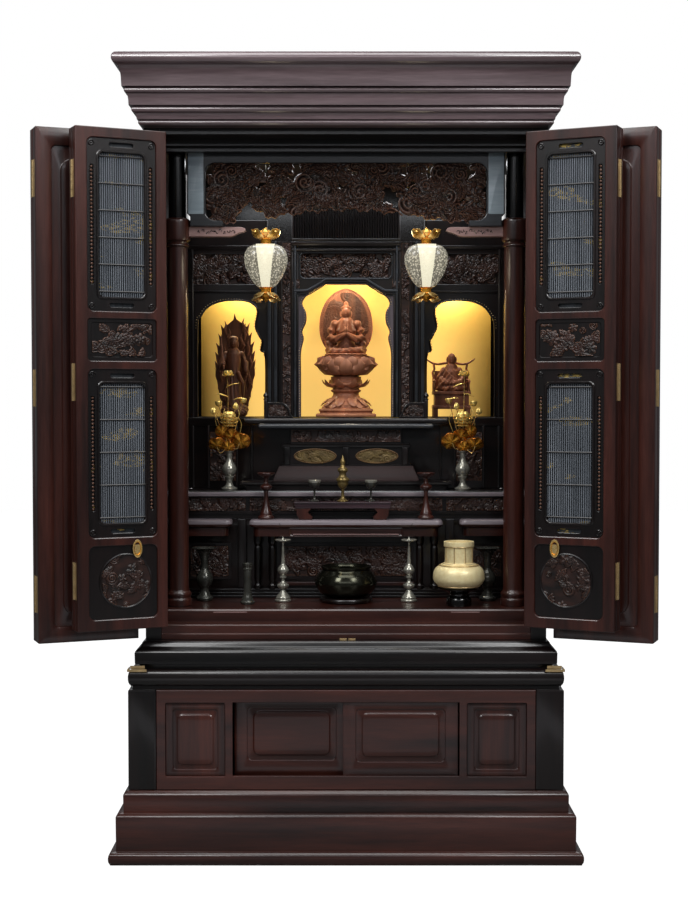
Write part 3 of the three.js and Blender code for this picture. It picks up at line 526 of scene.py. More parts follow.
def skinFaces(rows, count, closed=True, capStart=False, capEnd=False):
    faces = []
    wrap = count if closed else count - 1
    for row in range(rows - 1):
        a = row * count
        b = a + count
        for i in range(wrap):
            j = (i + 1) % count
            faces.append((a + i, a + j, b + j, b + i))
    if capStart:
        faces.append(tuple(reversed(range(count))))
    if capEnd:
        faces.append(tuple(range((rows - 1) * count, rows * count)))
    return faces


# loops with the same number of points, joined into one skin
def skin(piece, loops, finish, capStart=True, capEnd=True, closed=True):
    verts = [point for loop in loops for point in loop]
    piece.add(verts, skinFaces(len(loops), len(loops[0]), closed, capStart, capEnd), finish)


def roundRect(a0, a1, b0, b1, radius, steps=4):
    radius = max(radius, 0.01)
    points = []
    corners = ((a1 - radius, b0 + radius, -90), (a1 - radius, b1 - radius, 0),
               (a0 + radius, b1 - radius, 90), (a0 + radius, b0 + radius, 180))
    for ca, cb, start in corners:
        for i in range(steps + 1):
            angle = math.radians(start + 90 * i / steps)
            points.append((ca + radius * math.cos(angle), cb + radius * math.sin(angle)))
    return points


# a stack of rounded rectangles facing -Y: each level is (x0, x1, z0, z1, corner, y)
def panelStack(piece, levels, finish, steps=4, capStart=False, capEnd=True):
    loops = [[(a, y, b) for a, b in roundRect(x0, x1, z0, z1, r, steps)] for x0, x1, z0, z1, r, y in levels]
    skin(piece, loops, finish, capStart, capEnd)


# a box with its edges rounded
def softBox(piece, x0, x1, y0, y1, z0, z1, finish, edge=1.0):
    x0, x1 = min(x0, x1), max(x0, x1)
    levels = [(edge, y0), (edge * 0.3, y0 + edge * 0.3), (0, y0 + edge), (0, y1 - edge),
              (edge * 0.3, y1 - edge * 0.3), (edge, y1)]
    panelStack(piece, [(x0 + i, x1 - i, z0 + i, z1 - i, edge, y) for i, y in levels], finish, 2, True)


# the point at t between p1 and p2, on a smooth curve through all four
def curvePoint(p0, p1, p2, p3, t, axes):
    return tuple(0.5 * (2 * p1[c] + (p2[c] - p0[c]) * t + (2 * p0[c] - 5 * p1[c] + 4 * p2[c] - p3[c]) * t * t
                        + (3 * p1[c] - p0[c] - 3 * p2[c] + p3[c]) * t ** 3) for c in range(axes))


# smooth curve through [radius, height] points; a point given as (r, z, 0) stays a sharp corner
def smoothProfile(points, steps=5):
    out = []
    last = len(points) - 1
    for i in range(last):
        p1, p2 = points[i], points[i + 1]
        p0 = points[i - 1] if i > 0 and len(p1) == 2 else p1
        p3 = points[i + 2] if i + 2 <= last and len(p2) == 2 else p2
        for k in range(steps):
            t = k / steps
            out.append(curvePoint(p0, p1, p2, p3, t, 2))
    out.append((points[last][0], points[last][1]))
    return out


# smooth curve through points in space
def smoothPath(points, steps=5):
    out = []
    last = len(points) - 1
    for i in range(last):
        p0, p1, p2, p3 = points[max(i - 1, 0)], points[i], points[i + 1], points[min(i + 2, last)]
        for k in range(steps):
            out.append(curvePoint(p0, p1, p2, p3, k / steps, 3))
    return out + [points[last]]


# turned form; lobes > 0 pinches the radius between that many petals
def lathe(piece, points, x, y, z, finish, segments=40, steps=5, lobes=0, pinch=0.0, phase=0.0):
    loops = []
    for r, h in smoothProfile(points, steps):
        r = max(r, 0.02)
        loop = []
        for i in range(segments):
            a = 2 * math.pi * i / segments
            k = 1 - pinch * (1 - abs(math.cos(lobes * (a - phase) / 2))) if lobes else 1
            loop.append((x + r * k * math.cos(a), y + r * k * math.sin(a), z + h))
        loops.append(loop)
    skin(piece, loops, finish, True, True)


# a round bar along a path of points, with a radius for each point
def tube(piece, path, radii, finish, segments=8, flat=1.0):
    points = [Vector(p) for p in path]
    loops = []
    for i, point in enumerate(points):
        ahead = points[min(i + 1, len(points) - 1)]
        behind = points[max(i - 1, 0)]
        along = (ahead - behind).normalized()
        sideways = along.cross(Vector((0, 0, 1)) if abs(along.z) < 0.9 else Vector((0, 1, 0))).normalized()
        up = along.cross(sideways)
        r = radii[i] if isinstance(radii, (list, tuple)) else radii
        loops.append([point + sideways * r * math.cos(t) + up * r * flat * math.sin(t)
                      for t in turns(segments)])
    skin(piece, loops, finish)


# a flat board facing -Y cut to an outline with holes, with its edges eased
def board(piece, outline, holes, y0, y1, finish, edge=1.2):
    curve = bpy.data.curves.new("boardCurve", "CURVE")
    curve.dimensions = "2D"
    curve.fill_mode = "BOTH"
    curve.extrude = (y1 - y0) / 2 - edge
    curve.bevel_depth = edge
    curve.bevel_resolution = 1
    curve.offset = -edge
    for loop in [outline, *holes]:
        spline = curve.splines.new("POLY")
        spline.points.add(len(loop) - 1)
        spline.use_cyclic_u = True
        for point, (a, b) in zip(spline.points, loop):
            point.co = (a, b, 0, 1)
    obj = bpy.data.objects.new("boardCurve", curve)
    mesh = bpy.data.meshes.new_from_object(obj)
    middle = (y0 + y1) / 2
    verts = [(v.co.x, middle - v.co.z, v.co.y) for v in mesh.vertices]
    piece.add(verts, [tuple(p.vertices) for p in mesh.polygons], finish)
    bpy.data.objects.remove(obj)
    bpy.data.curves.remove(curve)
    bpy.data.meshes.remove(mesh)


# relief over a rectangle facing -Y: height(X, Z) gives millimetres, and cells below the floor are cut away
def relief(piece, x0, x1, z0, z1, y, height, finish, cell=1.2, floor=None, inside=None):
    nx = max(2, int((x1 - x0) / cell))
    nz = max(2, int((z1 - z0) / cell))
    gx, gz = np.meshgrid(np.linspace(x0, x1, nx), np.linspace(z0, z1, nz))
    h = height(gx, gz)
    keep = np.ones_like(h, bool)
    if floor is not None:
        keep &= h > floor
    if inside is not None:
        keep &= inside(gx, gz)
    index = np.arange(nx * nz).reshape(nz, nx)
    whole = keep[:-1, :-1] & keep[1:, :-1] & keep[:-1, 1:] & keep[1:, 1:]
    quads = np.stack([index[:-1, :-1], index[:-1, 1:], index[1:, 1:], index[1:, :-1]], -1)[whole]
    flat = np.unique(quads)
    remap = np.full(nx * nz, -1)
    remap[flat] = np.arange(len(flat))
    verts = np.stack([gx, y - np.maximum(h, 0), gz], -1).reshape(-1, 3)[flat]
    # a thin back with a wall round every edge makes the relief a closed solid
    back = verts.copy()
    back[:, 1] = y + 2.5
    quads = remap[quads]
    count = len(verts)
    edges = {}
    for quad in quads:
        for k in range(4):
            a, b = int(quad[k]), int(quad[(k + 1) % 4])
            if (b, a) in edges:
                del edges[(b, a)]
            else:
                edges[(a, b)] = 1
    faces = [tuple(q) for q in quads.tolist()]
    faces += [tuple(count + i for i in reversed(q)) for q in quads.tolist()]
    faces += [(b, a, a + count, b + count) for a, b in edges]
    piece.add(np.vstack([verts, back]), faces, finish)


# motifs for the carvers: each returns a height field over the grid


def dome(distance, radius):
    return np.sqrt(np.maximum(0, 1 - (distance / radius) ** 2))


def flowerMotif(gx, gz, x, z, size, petals=6, turn=0.0):
    r = np.hypot(gx - x, gz - z)
    a = np.arctan2(gz - z, gx - x) + turn
    reach = size * (0.6 + 0.4 * np.abs(np.cos(petals * a / 2)) ** 0.7)
    petal = dome(r, reach) * (0.75 + 0.25 * np.abs(np.cos(petals * a / 2)))
    crease = 0.12 * np.cos(petals * a * 2) * (r < reach)
    cup = petal * (0.55 + 0.45 * np.minimum(1, r / (0.5 * size)))
    return cup + crease * petal + 0.5 * dome(r, size * 0.26)


def leafMotif(gx, gz, x, z, length, width, turn):
    u = ((gx - x) * np.cos(turn) + (gz - z) * np.sin(turn)) / length
    v = -(gx - x) * np.sin(turn) + (gz - z) * np.cos(turn)
    v = v - 0.18 * length * np.sin(np.clip(u, 0, 1) * np.pi)
    within = (u > 0) & (u < 1)
    w = width * np.sin(np.pi * np.clip(u, 0, 1)) ** 0.7 * (1 + 0.12 * np.sin(u * 26)) + 1e-6
    blade = np.where(within, dome(v, w), 0)
    vein = 0.25 * np.exp(-(v / (0.12 * width)) ** 2) + 0.1 * np.cos((np.abs(v) * 1.2 - u * length) * 1.1)
    return np.where(within & (np.abs(v) < w), 0.25 + 0.75 * blade - vein, 0)


def scrollMotif(gx, gz, x, z, size, turn, hand=1):
    r = np.hypot(gx - x, gz - z)
    a = hand * (np.arctan2(gz - z, gx - x) + turn)
    phase = (r / (size * 0.42) - a / (2 * np.pi)) % 1
    ridge = np.sin(np.pi * phase) ** 0.8
    return np.where(r < size, (0.35 + 0.65 * ridge) * dome(r, size * 1.04) ** 0.4, 0)


# flowers, leaves and scrolls packed over a rectangle
def foliage(seed, x0, x1, z0, z1, count, size, depth):
    rng = random.Random(seed)
    plan = []
    for _ in range(count):
        kind = rng.choice(("leaf", "leaf", "scroll", "flower", "leaf"))
        plan.append((kind, rng.uniform(x0, x1), rng.uniform(z0, z1), size * rng.uniform(0.6, 1.25),
                     rng.uniform(0, 2 * math.pi), rng.choice((-1, 1)), rng.uniform(0.6, 1)))

    def height(gx, gz):
        total = np.zeros_like(gx)
        for kind, x, z, s, turn, hand, lift in plan:
            if kind == "leaf":
                shape = leafMotif(gx, gz, x, z, s * 1.9, s * 0.55, turn)
            elif kind == "scroll":
                shape = scrollMotif(gx, gz, x, z, s * 0.8, turn, hand)
            else:
                shape = flowerMotif(gx, gz, x, z, s, 5 + int(s) % 3, turn)
            total = np.maximum(total, shape * lift)
        return total * depth

    return height


# blobs melted together into one carved form: each is (centre, radii, tilt) or a limb between two points
def sculpt(name, blobs, voxel, body, slot, finish, replaced, folds=None, smooth=4):
    mesh = bpy.data.meshes.new(name)
    form = bmesh.new()
    for blob in blobs:
        if blob[0] == "ball":
            _, centre, radii, tilt = blob
            turn = Matrix.Rotation(math.radians(tilt), 4, "X")
            where = Matrix.Translation(centre) @ turn @ Matrix.Diagonal((*radii, 1))
            bmesh.ops.create_icosphere(form, subdivisions=3, radius=1, matrix=where)
        else:
            _, path, radii = blob
            limb = Piece("limb")
            tube(limb, path, radii, "figure", 14)
            made = [form.verts.new(v) for v in limb.verts]
            for face in limb.faces:
                form.faces.new([made[i] for i in face])
            for end, r in ((path[0], radii[0]), (path[-1], radii[-1])):
                bmesh.ops.create_icosphere(form, subdivisions=2, radius=r * 0.98,
                                           matrix=Matrix.Translation(end))
    form.to_mesh(mesh)
    form.free()
    raw = bpy.data.objects.new(name + "Raw", mesh)
    bpy.context.collection.objects.link(raw)
    remesh = raw.modifiers.new("melt", "REMESH")
    remesh.mode = "VOXEL"
    remesh.voxel_size = voxel
    soften = raw.modifiers.new("soften", "SMOOTH")
    soften.factor = 0.5
    soften.iterations = smooth
    bpy.context.view_layer.update()
    done = bpy.data.meshes.new_from_object(raw.evaluated_get(bpy.context.evaluated_depsgraph_get()))
    verts = np.empty(len(done.vertices) * 3)
    normals = np.empty(len(done.vertices) * 3)
    done.vertices.foreach_get("co", verts)
    done.vertices.foreach_get("normal", normals)
    verts = verts.reshape(-1, 3)
    if folds is not None:
        verts = verts + normals.reshape(-1, 3) * folds(verts)[:, None]
    piece = Piece(name)
    piece.add(verts, [tuple(p.vertices) for p in done.polygons], finish)
    bpy.data.objects.remove(raw)
    return piece.place(body, slot, *replaced, crease=60)


makeCamera()
makeWorld()
makeLights()
print("camera, light and materials ready")

# base, cupboard and mouldings

baseShape = {"backY": 360, "corner": 2.5}
carcass = {"half": 428, "front": -324, "low": 140.3, "high": 337.7, "opening": (223, 168, 313), "stile": 373}
sidePanel = {"near": 238, "far": 355, "low": 167, "high": 312, "fieldNear": 261, "fieldFar": 332,
             "fieldLow": 188, "fieldHigh": 289}
slider = {"width": 227, "stile": 24, "rail": 20, "low": 156.3, "high": 321.7, "thick": 16}


# levels of a moulding: each step is (z, half width), or (z0, z1, half width, bulge) for a rounded nose
def mouldingLoops(steps, setback, roundSteps=7):
    levels = []
    for step in steps:
        if len(step) == 2:
            levels.append(step)
            continue
        z0, z1, half, bulge = step
        for k in range(roundSteps + 1):
            angle = math.pi * (k / roundSteps - 0.5)
            levels.append(((z0 + z1) / 2 + (z1 - z0) / 2 * math.sin(angle),
                           half - bulge * (1 - math.cos(angle))))
    back = baseShape["backY"]
    return [[(x, y, z) for x, y in roundRect(-half, half, -(half - setback), back, baseShape["corner"], 2)]
            for z, half in levels]


def makeBase():
    piece = Piece("plinthBase")
    skin(piece, mouldingLoops([
        (0, 460), (0.5, 461), (2, 23, 464, 4), (24.5, 459), (25, 451), (25.5, 450), (91, 450.5), (93, 450),
        (96.5, 447), (98, 443), (98.3, 437), (131, 437.5), (134, 436.5), (137.5, 433), (139.6, 431)], 104),
        "rosewoodLevel")
    piece.place("cabinet", "rosewood", "plinth")
    lower = Piece("waistLower")
    skin(lower, mouldingLoops([(338, 420), (345, 419.5), (345.3, 424), (346.5, 376, 428.4, 5.5), (377.5, 421),
                               (378, 408), (386.6, 408)], 104), "ebonyLevel")
    lower.place("cabinet", "ebony", "lower_moulding")
    upper = Piece("waistUpper")
    skin(upper, mouldingLoops([(387.2, 413), (388.5, 415.6), (409, 416), (413, 414.5), (417, 410),
                               (420, 405.5), (422, 404.6), (425, 403.6), (429, 402), (430.8, 400)], 100),
         "ebonyLevel")
    upper.place("cabinet", "ebony", "upper_moulding")


def makeCornice():
    piece = Piece("crown")
    # the cornice takes the painted reflection tint
    skin(piece, mouldingLoops([
        (1441.2, 398), (1441.6, 401), (1442.5, 1450, 404.5, 3), (1451.2, 402), (1452, 406.5), (1456, 407),
        (1460, 408), (1463.2, 409.5), (1463.6, 409), (1464.4, 1475.4, 416, 4), (1476, 412), (1477, 420.5),
        (1488, 421), (1494, 422), (1498, 424), (1498.5, 422), (1499.4, 1509.6, 428.5, 4), (1510.2, 426),
        (1511, 432.5), (1530, 433.5), (1541, 435), (1547, 437), (1551, 440), (1552, 1574.4, 450, 8.5),
        (1575, 440)], 90), "corniceSheen")
    piece.place("cabinet", "rosewood", "cornice")


# a framed leaf: a flat frame, a sunk border and a raised field, facing -Y
def framedPanel(piece, whole, opening, field, face, back, frameFinish, panelFinish, depth=4.0, corner=8,
                bulb=16):
    def grown(rect, by):
        return rect[0] - by, rect[1] + by, rect[2] - by, rect[3] + by

    panelStack(piece, [(*whole, 0.8, back), (*whole, 0.8, face + 1.2),
                       (*grown(whole, -0.4), 0.8, face + 0.35), (*grown(whole, -1.2), 0.8, face),
                       (*grown(opening, 1.5), corner + 1.5, face), (*opening, corner, face + 0.8),
                       (*grown(opening, -0.8), corner, face + depth)],
               frameFinish, 5, True, False)
    panelStack(piece, [(*grown(opening, -0.8), corner, face + depth),
                       (*grown(field, 4), bulb + 3, face + depth),
                       (*grown(field, 2.2), bulb + 2, face + depth - 1.2),
                       (*grown(field, 0.8), bulb, face + 0.9), (*field, bulb, face + 0.6),
                       (*grown(field, -9), bulb - 6, face + 0.4)],
               panelFinish, 5, False, True)


def makeCupboard():
    c = carcass
    front = c["front"]
    half, z0, z1 = c["half"], c["low"], c["high"]
    openHalf, openLow, openHigh = c["opening"]
    piece = Piece("cupboardCase")
    for _, sign in sides:
        softBox(piece, sign * c["stile"], sign * half, front, front + 30, z0, z1, "ebony", 2.2)
        softBox(piece, sign * (half - 18), sign * half, front + 30, 359.7, z0, z1, "ebony", 1.2)
    s = sidePanel
    holes = [roundRect(-openHalf, openHalf, openLow, openHigh, 1.5)]
    for _, sign in sides:
        x0, x1 = sorted((sign * s["near"], sign * s["far"]))
        f0, f1 = sorted((sign * s["fieldNear"], sign * s["fieldFar"]))
        holes.append(roundRect(x0, x1, s["low"], s["high"], 3))
        framedPanel(piece, (x0, x1, s["low"], s["high"]), (x0 + 14, x1 - 14, s["low"] + 13, s["high"] - 13),
                    (f0 + 2, f1 - 2, s["fieldLow"] + 3, s["fieldHigh"] - 3), front + 5, front + 14,
                    "rosewood", "rosewood", 3.2, 7, 9)
    board(piece, roundRect(-c["stile"] + 0.3, c["stile"] - 0.3, z0, z1, 1), holes, front + 1, front + 9,
          "rosewoodLevel", 1.4)
    softBox(piece, -half + 18, half - 18, front + 43, 345, z0, 156, "ebonyLevel")
    softBox(piece, -half + 18, half - 18, front + 9, 345, 322, z1, "ebonyLevel")
    softBox(piece, -half + 18, half - 18, front + 9, front + 43, z0, 156, "ebonyLevel")
    softBox(piece, -half + 18, half - 18, 345, 359.7, z0, z1, "ebony")
    piece.place("cabinet", "rosewood", "lower_carcass")


def makeSliders():
    for side, _ in sides:
        low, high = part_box("sliding_door_" + side)
        x0, x1, y0 = low.x / mm, high.x / mm, low.y / mm
        z0, z1 = slider["low"], slider["high"]
        piece = Piece("slidingDoor." + side)
        framedPanel(piece, (x0, x1, z0, z1), (x0 + 25, x1 - 25, 194, 299), (x0 + 40, x1 - 40, 206, 288), y0,
                    y0 + slider["thick"], "rosewoodLevel", "rosewoodLevel", 3.6, 9, 11)
        piece.place("cupboard_door_" + side, "rosewood", "sliding_door_" + side)


def finishFrame():
    looks = {"altar_floor": "rosewoodLevel", "side_wall_left": "ebony", "side_wall_right": "ebony",
             "back_wall": "lac", "header_ceiling": "ebonyLevel", "altar_tier": "ebonyLevel"}
    for node, finish in looks.items():
        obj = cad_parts[node]
        for slot in obj.material_slots:
            slot.material = finishes[finish]
        bevel = obj.modifiers.new("easedEdges", "BEVEL")
        bevel.width = 1.2 * mm
        bevel.segments = 2
        bevel.limit_method = "ANGLE"


makeBase()
makeCornice()
makeCupboard()
makeSliders()
finishFrame()
print("case, base and cornice ready")

# folding doors, drawn closed on the left with the pin at the origin and the outside towards -Y

outerDoor = {"pinX": 405, "pinY": -280, "start": 7, "width": 198.2, "thick": 27, "low": 434, "high": 1432,
             "open": 158, "shift": -0.3, "plates": (1335, 930, 528), "stile": 31, "rail": 34}
innerDoor = {"pinX": 366, "pinY": -279, "start": 2, "width": 180.8, "thick": 22, "low": 462, "high": 1427,
             "open": 155, "shift": 23, "plates": (1329, 941, 559)}
foldGap = 0.6
windowLayout = {"x0": 23, "x1": 160, "upper": (1077, 1407), "lower": (642, 966), "carved": (982, 1063),
                "foot": (484, 626), "side": 21, "end": 25, "reeds": 22}
medallion = {"x": 97, "z": 557, "radius": 51}
pull = {"x": 119, "z": 619, "width": 9.5, "height": 17.5}


def leafMatrix(door, sign, second):
    foldY = -door["thick"] - 0.3 - foldGap / 2 if door is outerDoor else door["thick"] + 1 + foldGap / 2
    place = Matrix.Translation((sign * door["pinX"] * mm, door["pinY"] * mm, 0))
    place = place @ Matrix.Rotation(sign * math.radians(door["open"]), 4, "Z")
    if second:
        reach = -sign * (door["start"] + door["width"] + foldGap / 2)
        place = place @ Matrix.Translation((reach * mm, foldY * mm, 0)) @ Matrix.Rotation(math.pi, 4, "Z")
        place = place @ Matrix.Translation((-sign * foldGap / 2 * mm, (door["shift"] - foldY) * mm, 0))
    else:
        place = place @ Matrix.Translation((-sign * door["start"] * mm, door["shift"] * mm, 0))
    return place @ Matrix.Diagonal((-sign, 1, 1, 1))


def outerLeaf(piece):
    d = outerDoor
    width, low, high = d["width"], d["low"], d["high"]
    middle = -d["thick"] / 2
    for turned in (False, True):
        marks = len(piece.verts), len(piece.faces)
        framedPanel(piece, (0, width, low, high),
                    (d["stile"], width - d["stile"], low + 30, high - d["rail"]),
                    (51, width - 51, low + 58, high - 62), -d["thick"], middle, "rosewood", "rosewood", 5, 9,
                    20)
        if turned:
            piece.turnBack(*marks, middle)


# the fretted plate and reeds of one window, facing -Y from the leaf's outside face
def doorWindow(piece, z0, z1, face):
    w = windowLayout
    x0, x1 = w["x0"], w["x1"]
    wx0, wx1 = x0 + w["side"], x1 - w["side"]
    wz0, wz1 = z0 + w["end"], z1 - w["end"]
    middle = (x0 + x1) / 2
    slots = [roundRect(middle - 24, middle + 24, z - 4, z + 4, 3.9) for z in (z0 + 12, z1 - 12)]
    slots += [roundRect(x - 3.4, x + 3.4, wz0 + 26, wz1 - 26, 3.3) for x in (x0 + 10, x1 - 10)]
    plate = roundRect(x0 - 0.5, x1 + 0.5, z0 - 0.5, z1 + 0.5, 13)
    board(piece, plate, [roundRect(wx0, wx1, wz0, wz1, 11), *slots], face + 4, face + 8.6, "ebony", 0.8)
    rim = [(-1.5, 4.4), (-2.2, 2.6), (-1, 1.4), (1, 1.4), (2.2, 2.6), (2.6, 6), (3, 9)]
    panelStack(piece, [(wx0 + i, wx1 - i, wz0 + i, wz1 - i, 11, face + y) for i, y in rim], "ebony", 5,
               False, False)
    for x in (x0 + 9, x1 - 9):
        for z in (z0 + 10, z1 - 10):
            disc = [[(x + r * math.cos(a), face + y, z + r * math.sin(a))
                     for a in turns(20)]
                    for r, y in ((6.2, 4.4), (6, 2.4), (4.8, 1.8), (4, 2.8), (2.4, 2.9), (1.6, 2),
                                 (0.5, 1.8))]
            skin(piece, disc, "ebony", False, True)
    count = int((wz1 - wz0 - 56) / 7)
    for x in (x0 + 10, x1 - 10):
        for k in range(count):
            z = wz0 + 30 + k * (wz1 - wz0 - 60) / (count - 1)
            bead = [[(x + r * math.cos(a), face + y, z + r * math.sin(a))
                     for a in turns(8)] for r, y in ((2.6, 8), (2.3, 6), (1, 5))]
            skin(piece, bead, "carved", False, True)
    pitch = (wx1 - wx0) / w["reeds"]
    for k in range(w["reeds"]):
        x = wx0 + (k + 0.5) * pitch
        tube(piece, [(x, face + 7.5, wz0), (x, face + 7.5, wz1)], pitch * 0.24, "reed", 8)
    bars = 6 if z0 > 900 else 5
    for k in range(bars):
        z = wz1 - 9 - k * (wz1 - wz0 - 22) / (bars - 1)
        tube(piece, [(wx0, face + 6, z), (wx1, face + 6, z)], 1.5, "ebony", 6)


def reliefDisc(piece, x, z, radius, y, seed, finish):
    motif = foliage(seed, x - radius, x + radius, z - radius, z + radius, 34, 13, 3.4)
    relief(piece, x - radius, x + radius, z - radius, z + radius, y, motif, finish, 0.8,
           inside=lambda gx, gz: np.hypot(gx - x, gz - z) < radius)
    ring = [[(x + r * math.cos(a), y + d, z + r * math.sin(a)) for a in turns(48)]
            for r, d in ((radius + 3, 1), (radius + 2.4, -2.4), (radius + 0.6, -3), (radius - 1.4, -1.6),
                         (radius - 1.6, 1))]
    skin(piece, ring, "ebony", False, False)


def innerLeaf(piece, seed, withPull):
    d, w = innerDoor, windowLayout
    width, low, high, thick = d["width"], d["low"], d["high"], d["thick"]
    holes = [roundRect(w["x0"], w["x1"], *w[name], 12 if name != "carved" else 7, 5)
             for name in ("upper", "lower", "carved", "foot")]
    board(piece, roundRect(0, width, low, high, 2), holes, -thick, 0, "rosewood", 1.6)
    for turned in (False, True):
        marks = len(piece.verts), len(piece.faces)
        doorWindow(piece, *w["upper"], -thick)
        doorWindow(piece, *w["lower"], -thick)
        x0, x1 = w["x0"] - 1, w["x1"] + 1
        z0, z1 = w["carved"]
        panelStack(piece, [(x0, x1, z0 - 1, z1 + 1, 6, -thick / 2), (x0, x1, z0 - 1, z1 + 1, 6, -thick + 4.5),
                           (x0 + 8, x1 - 8, z0 + 7, z1 - 7, 6, -thick + 4.5),
                           (x0 + 9, x1 - 9, z0 + 8, z1 - 8, 6, -thick + 6.5)], "ebony", 4, True, True)
        motif = foliage(seed, x0 + 14, x1 - 14, z0 + 12, z1 - 12, 44, 12, 4.2)
        relief(piece, x0 + 11, x1 - 11, z0 + 10, z1 - 10, -thick + 6.3, motif, "carved", 0.9, 0.3)
        z0, z1 = w["foot"]
        panelStack(piece, [(x0, x1, z0 - 1, z1 + 1, 10, -thick / 2),
                           (x0, x1, z0 - 1, z1 + 1, 10, -thick + 4.5)],
                   "ebony", 4, True, True)
        reliefDisc(piece, medallion["x"], medallion["z"], medallion["radius"], -thick + 4.4, seed + 7,
                   "carved")
        if turned:
            piece.turnBack(*marks, -thick / 2)
    for name in ("upper", "lower"):
        z0, z1 = w[name]
        softBox(piece, w["x0"] + 4, w["x1"] - 4, -thick / 2 - 0.8, -thick / 2 + 0.8, z0 + 4, z1 - 4, "gauze",
                0.4)
    if withPull:
        p = pull
        rings = ((1.0, -thick + 0.4), (1.0, -thick - 1.2), (0.86, -thick - 1.8), (0.72, -thick - 1.2),
                 (0.66, -thick + 0.2), (0.4, -thick + 1.4))
        loops = [[(p["x"] + k * p["width"] * math.cos(a), y, p["z"] + k * p["height"] * math.sin(a))
                  for a in turns(32)] for k, y in rings]
        skin(piece, loops, "gilt", True, True)


# three plates let into a leaf's edge, each with a knuckle on its pin and a strap if the pin is further off
def hingeSet(piece, door, edge, face, pin, towards, radius=3.1, tall=72):
    outward = math.copysign(1, pin[0] - edge)
    x0, x1 = sorted((edge - outward * 1.2, edge + outward * 0.2))
    y0, y1 = sorted((face, face + towards))
    for z in door["plates"]:
        softBox(piece, x0, x1, y0, y1, z - tall / 2, z + tall / 2, "brass", 0.4)
        if abs(pin[0] - edge) > 3:
            softBox(piece, min(edge, pin[0]), max(edge, pin[0]), face - 1.7, face - 0.2, z - tall / 2,
                    z + tall / 2, "brass", 0.4)
        for k in range(5):
            z0 = z - tall / 2 + k * tall / 5
            tube(piece, [(*pin, z0 + 0.4), (*pin, z0 + tall / 5 - 0.4)], radius, "brass", 14)
        for k in (-1, 0, 1):
            loops = [[(edge + outward * (0.3 - r * 0.03), face + towards * 0.55 + r * math.cos(a),
                       z + k * tall / 3 + r * math.sin(a))
                      for a in (outward * 2 * math.pi * i / 10 for i in range(10))] for r in (2.2, 1.6, 0.3)]
            skin(piece, loops, "brass", False, True)


def makeDoors():
    for side, sign in sides:
        seed = 40 if sign < 0 else 80
        for kind, door in (("outer", outerDoor), ("inner", innerDoor)):
            width = door["width"]
            foldSide = -door["thick"] - 0.3 if kind == "outer" else 0.3
            for part, second in (("a", False), ("b", True)):
                body = f"{kind}_door_{side}_{part}"
                leaf = Piece(f"{kind}Leaf.{side}.{part}", leafMatrix(door, sign, second))
                if kind == "outer":
                    outerLeaf(leaf)
                else:
                    innerLeaf(leaf, seed + (3 if second else 0), second)
                    if not second:
                        leaf.verts = [(width - x, y, z) for x, y, z in leaf.verts]
                        leaf.faces = [tuple(reversed(face)) for face in leaf.faces]
                leaf.place(body, "rosewood" if kind == "outer" else "ebony", f"{kind}_leaf_{side}_{part}")
                hinges = Piece(f"{kind}Hinges.{side}.{part}", leafMatrix(door, sign, second))
                inward = 17 if kind == "outer" else -14
                if second:
                    for z in door["plates"]:
                        softBox(hinges, -0.2, 1.1, foldSide, foldSide + inward, z - 36, z + 36, "brass", 0.5)
                else:
                    hingeSet(hinges, door, width, foldSide, (width + foldGap / 2, foldSide), inward)
                    hingeSet(hinges, door, 0, 0 if kind == "outer" else -door["thick"],
                             (-door["start"], -door["shift"]), -20 if kind == "outer" else 16,
                             3.1 if kind == "outer" else 1.1)
                hinges.place(body, "brass")


makeDoors()
print("doors ready")

# altar room: pillars, transom and shrine

room = {"floor": 484.3, "desk": 653, "tier": 712, "platform": 868, "ceiling": 1423.7, "half": 371.6}
pillarPlan = {"x": 344.5, "y": -165, "radius": 21}


def pillars():
    x0, y, r = pillarPlan["x"], pillarPlan["y"], pillarPlan["radius"]
    for side, sign in sides:
        piece = Piece("pillar." + side)
        x = sign * x0
        lathe(piece, [(0, 0), (26, 0, 0), (27, 2), (27, 12), (25.6, 15, 0), (24.4, 17), (26, 22), (26, 26),
                      (22, 31, 0), (r, 34, 0), (r, 734, 0), (23.6, 735.5), (24, 738), (21.6, 741, 0),
                      (22, 744, 0), (25.6, 747), (26.8, 752), (26.8, 784), (25.4, 789), (22, 792, 0),
                      (18, 793, 0)],
              x, y, room["floor"], "rosewood", 48, 4)
        lathe(piece, [(0, 792), (17.6, 792, 0), (17.8, 795, 0), (17.8, 939, 0), (0, 939.2, 0)], x, y,
              room["floor"], "lac", 40, 3)
        far, near = 322, 204
        top, low = 1259, 1239.4
        outline = [(far, low), (far, top), (near + 10, top), (near + 3, top - 2), (near, top - 7),
                   (near + 5, top - 10), (near + 14, top - 12.5), (near + 27, low + 1), (near + 34, low)]
        outline = [(sign * a, b) for a, b in outline]
        if sign > 0:
            outline.reverse()
        board(piece, outline, [], y - 10, y + 10, "mauve", 1.2)
        rng = random.Random(5)
        for k in range(9):
            cx = sign * (far - 24 - k * 8.6)
            cz = 1249.5 + rng.uniform(-2.4, 2.4)
            arc = [(cx + 4.2 * math.cos(t), y - 10.2, cz + 3.2 * math.sin(t))
                   for t in (rng.uniform(0, 3) + 0.55 * i for i in range(7))]
            arc.sort(key=lambda p: p[0])
            tube(piece, arc, [0.3, 0.7, 0.8, 0.8, 0.8, 0.6, 0.3], "lac", 6)
        piece.place("cabinet", "rosewood", "pillar_" + side)


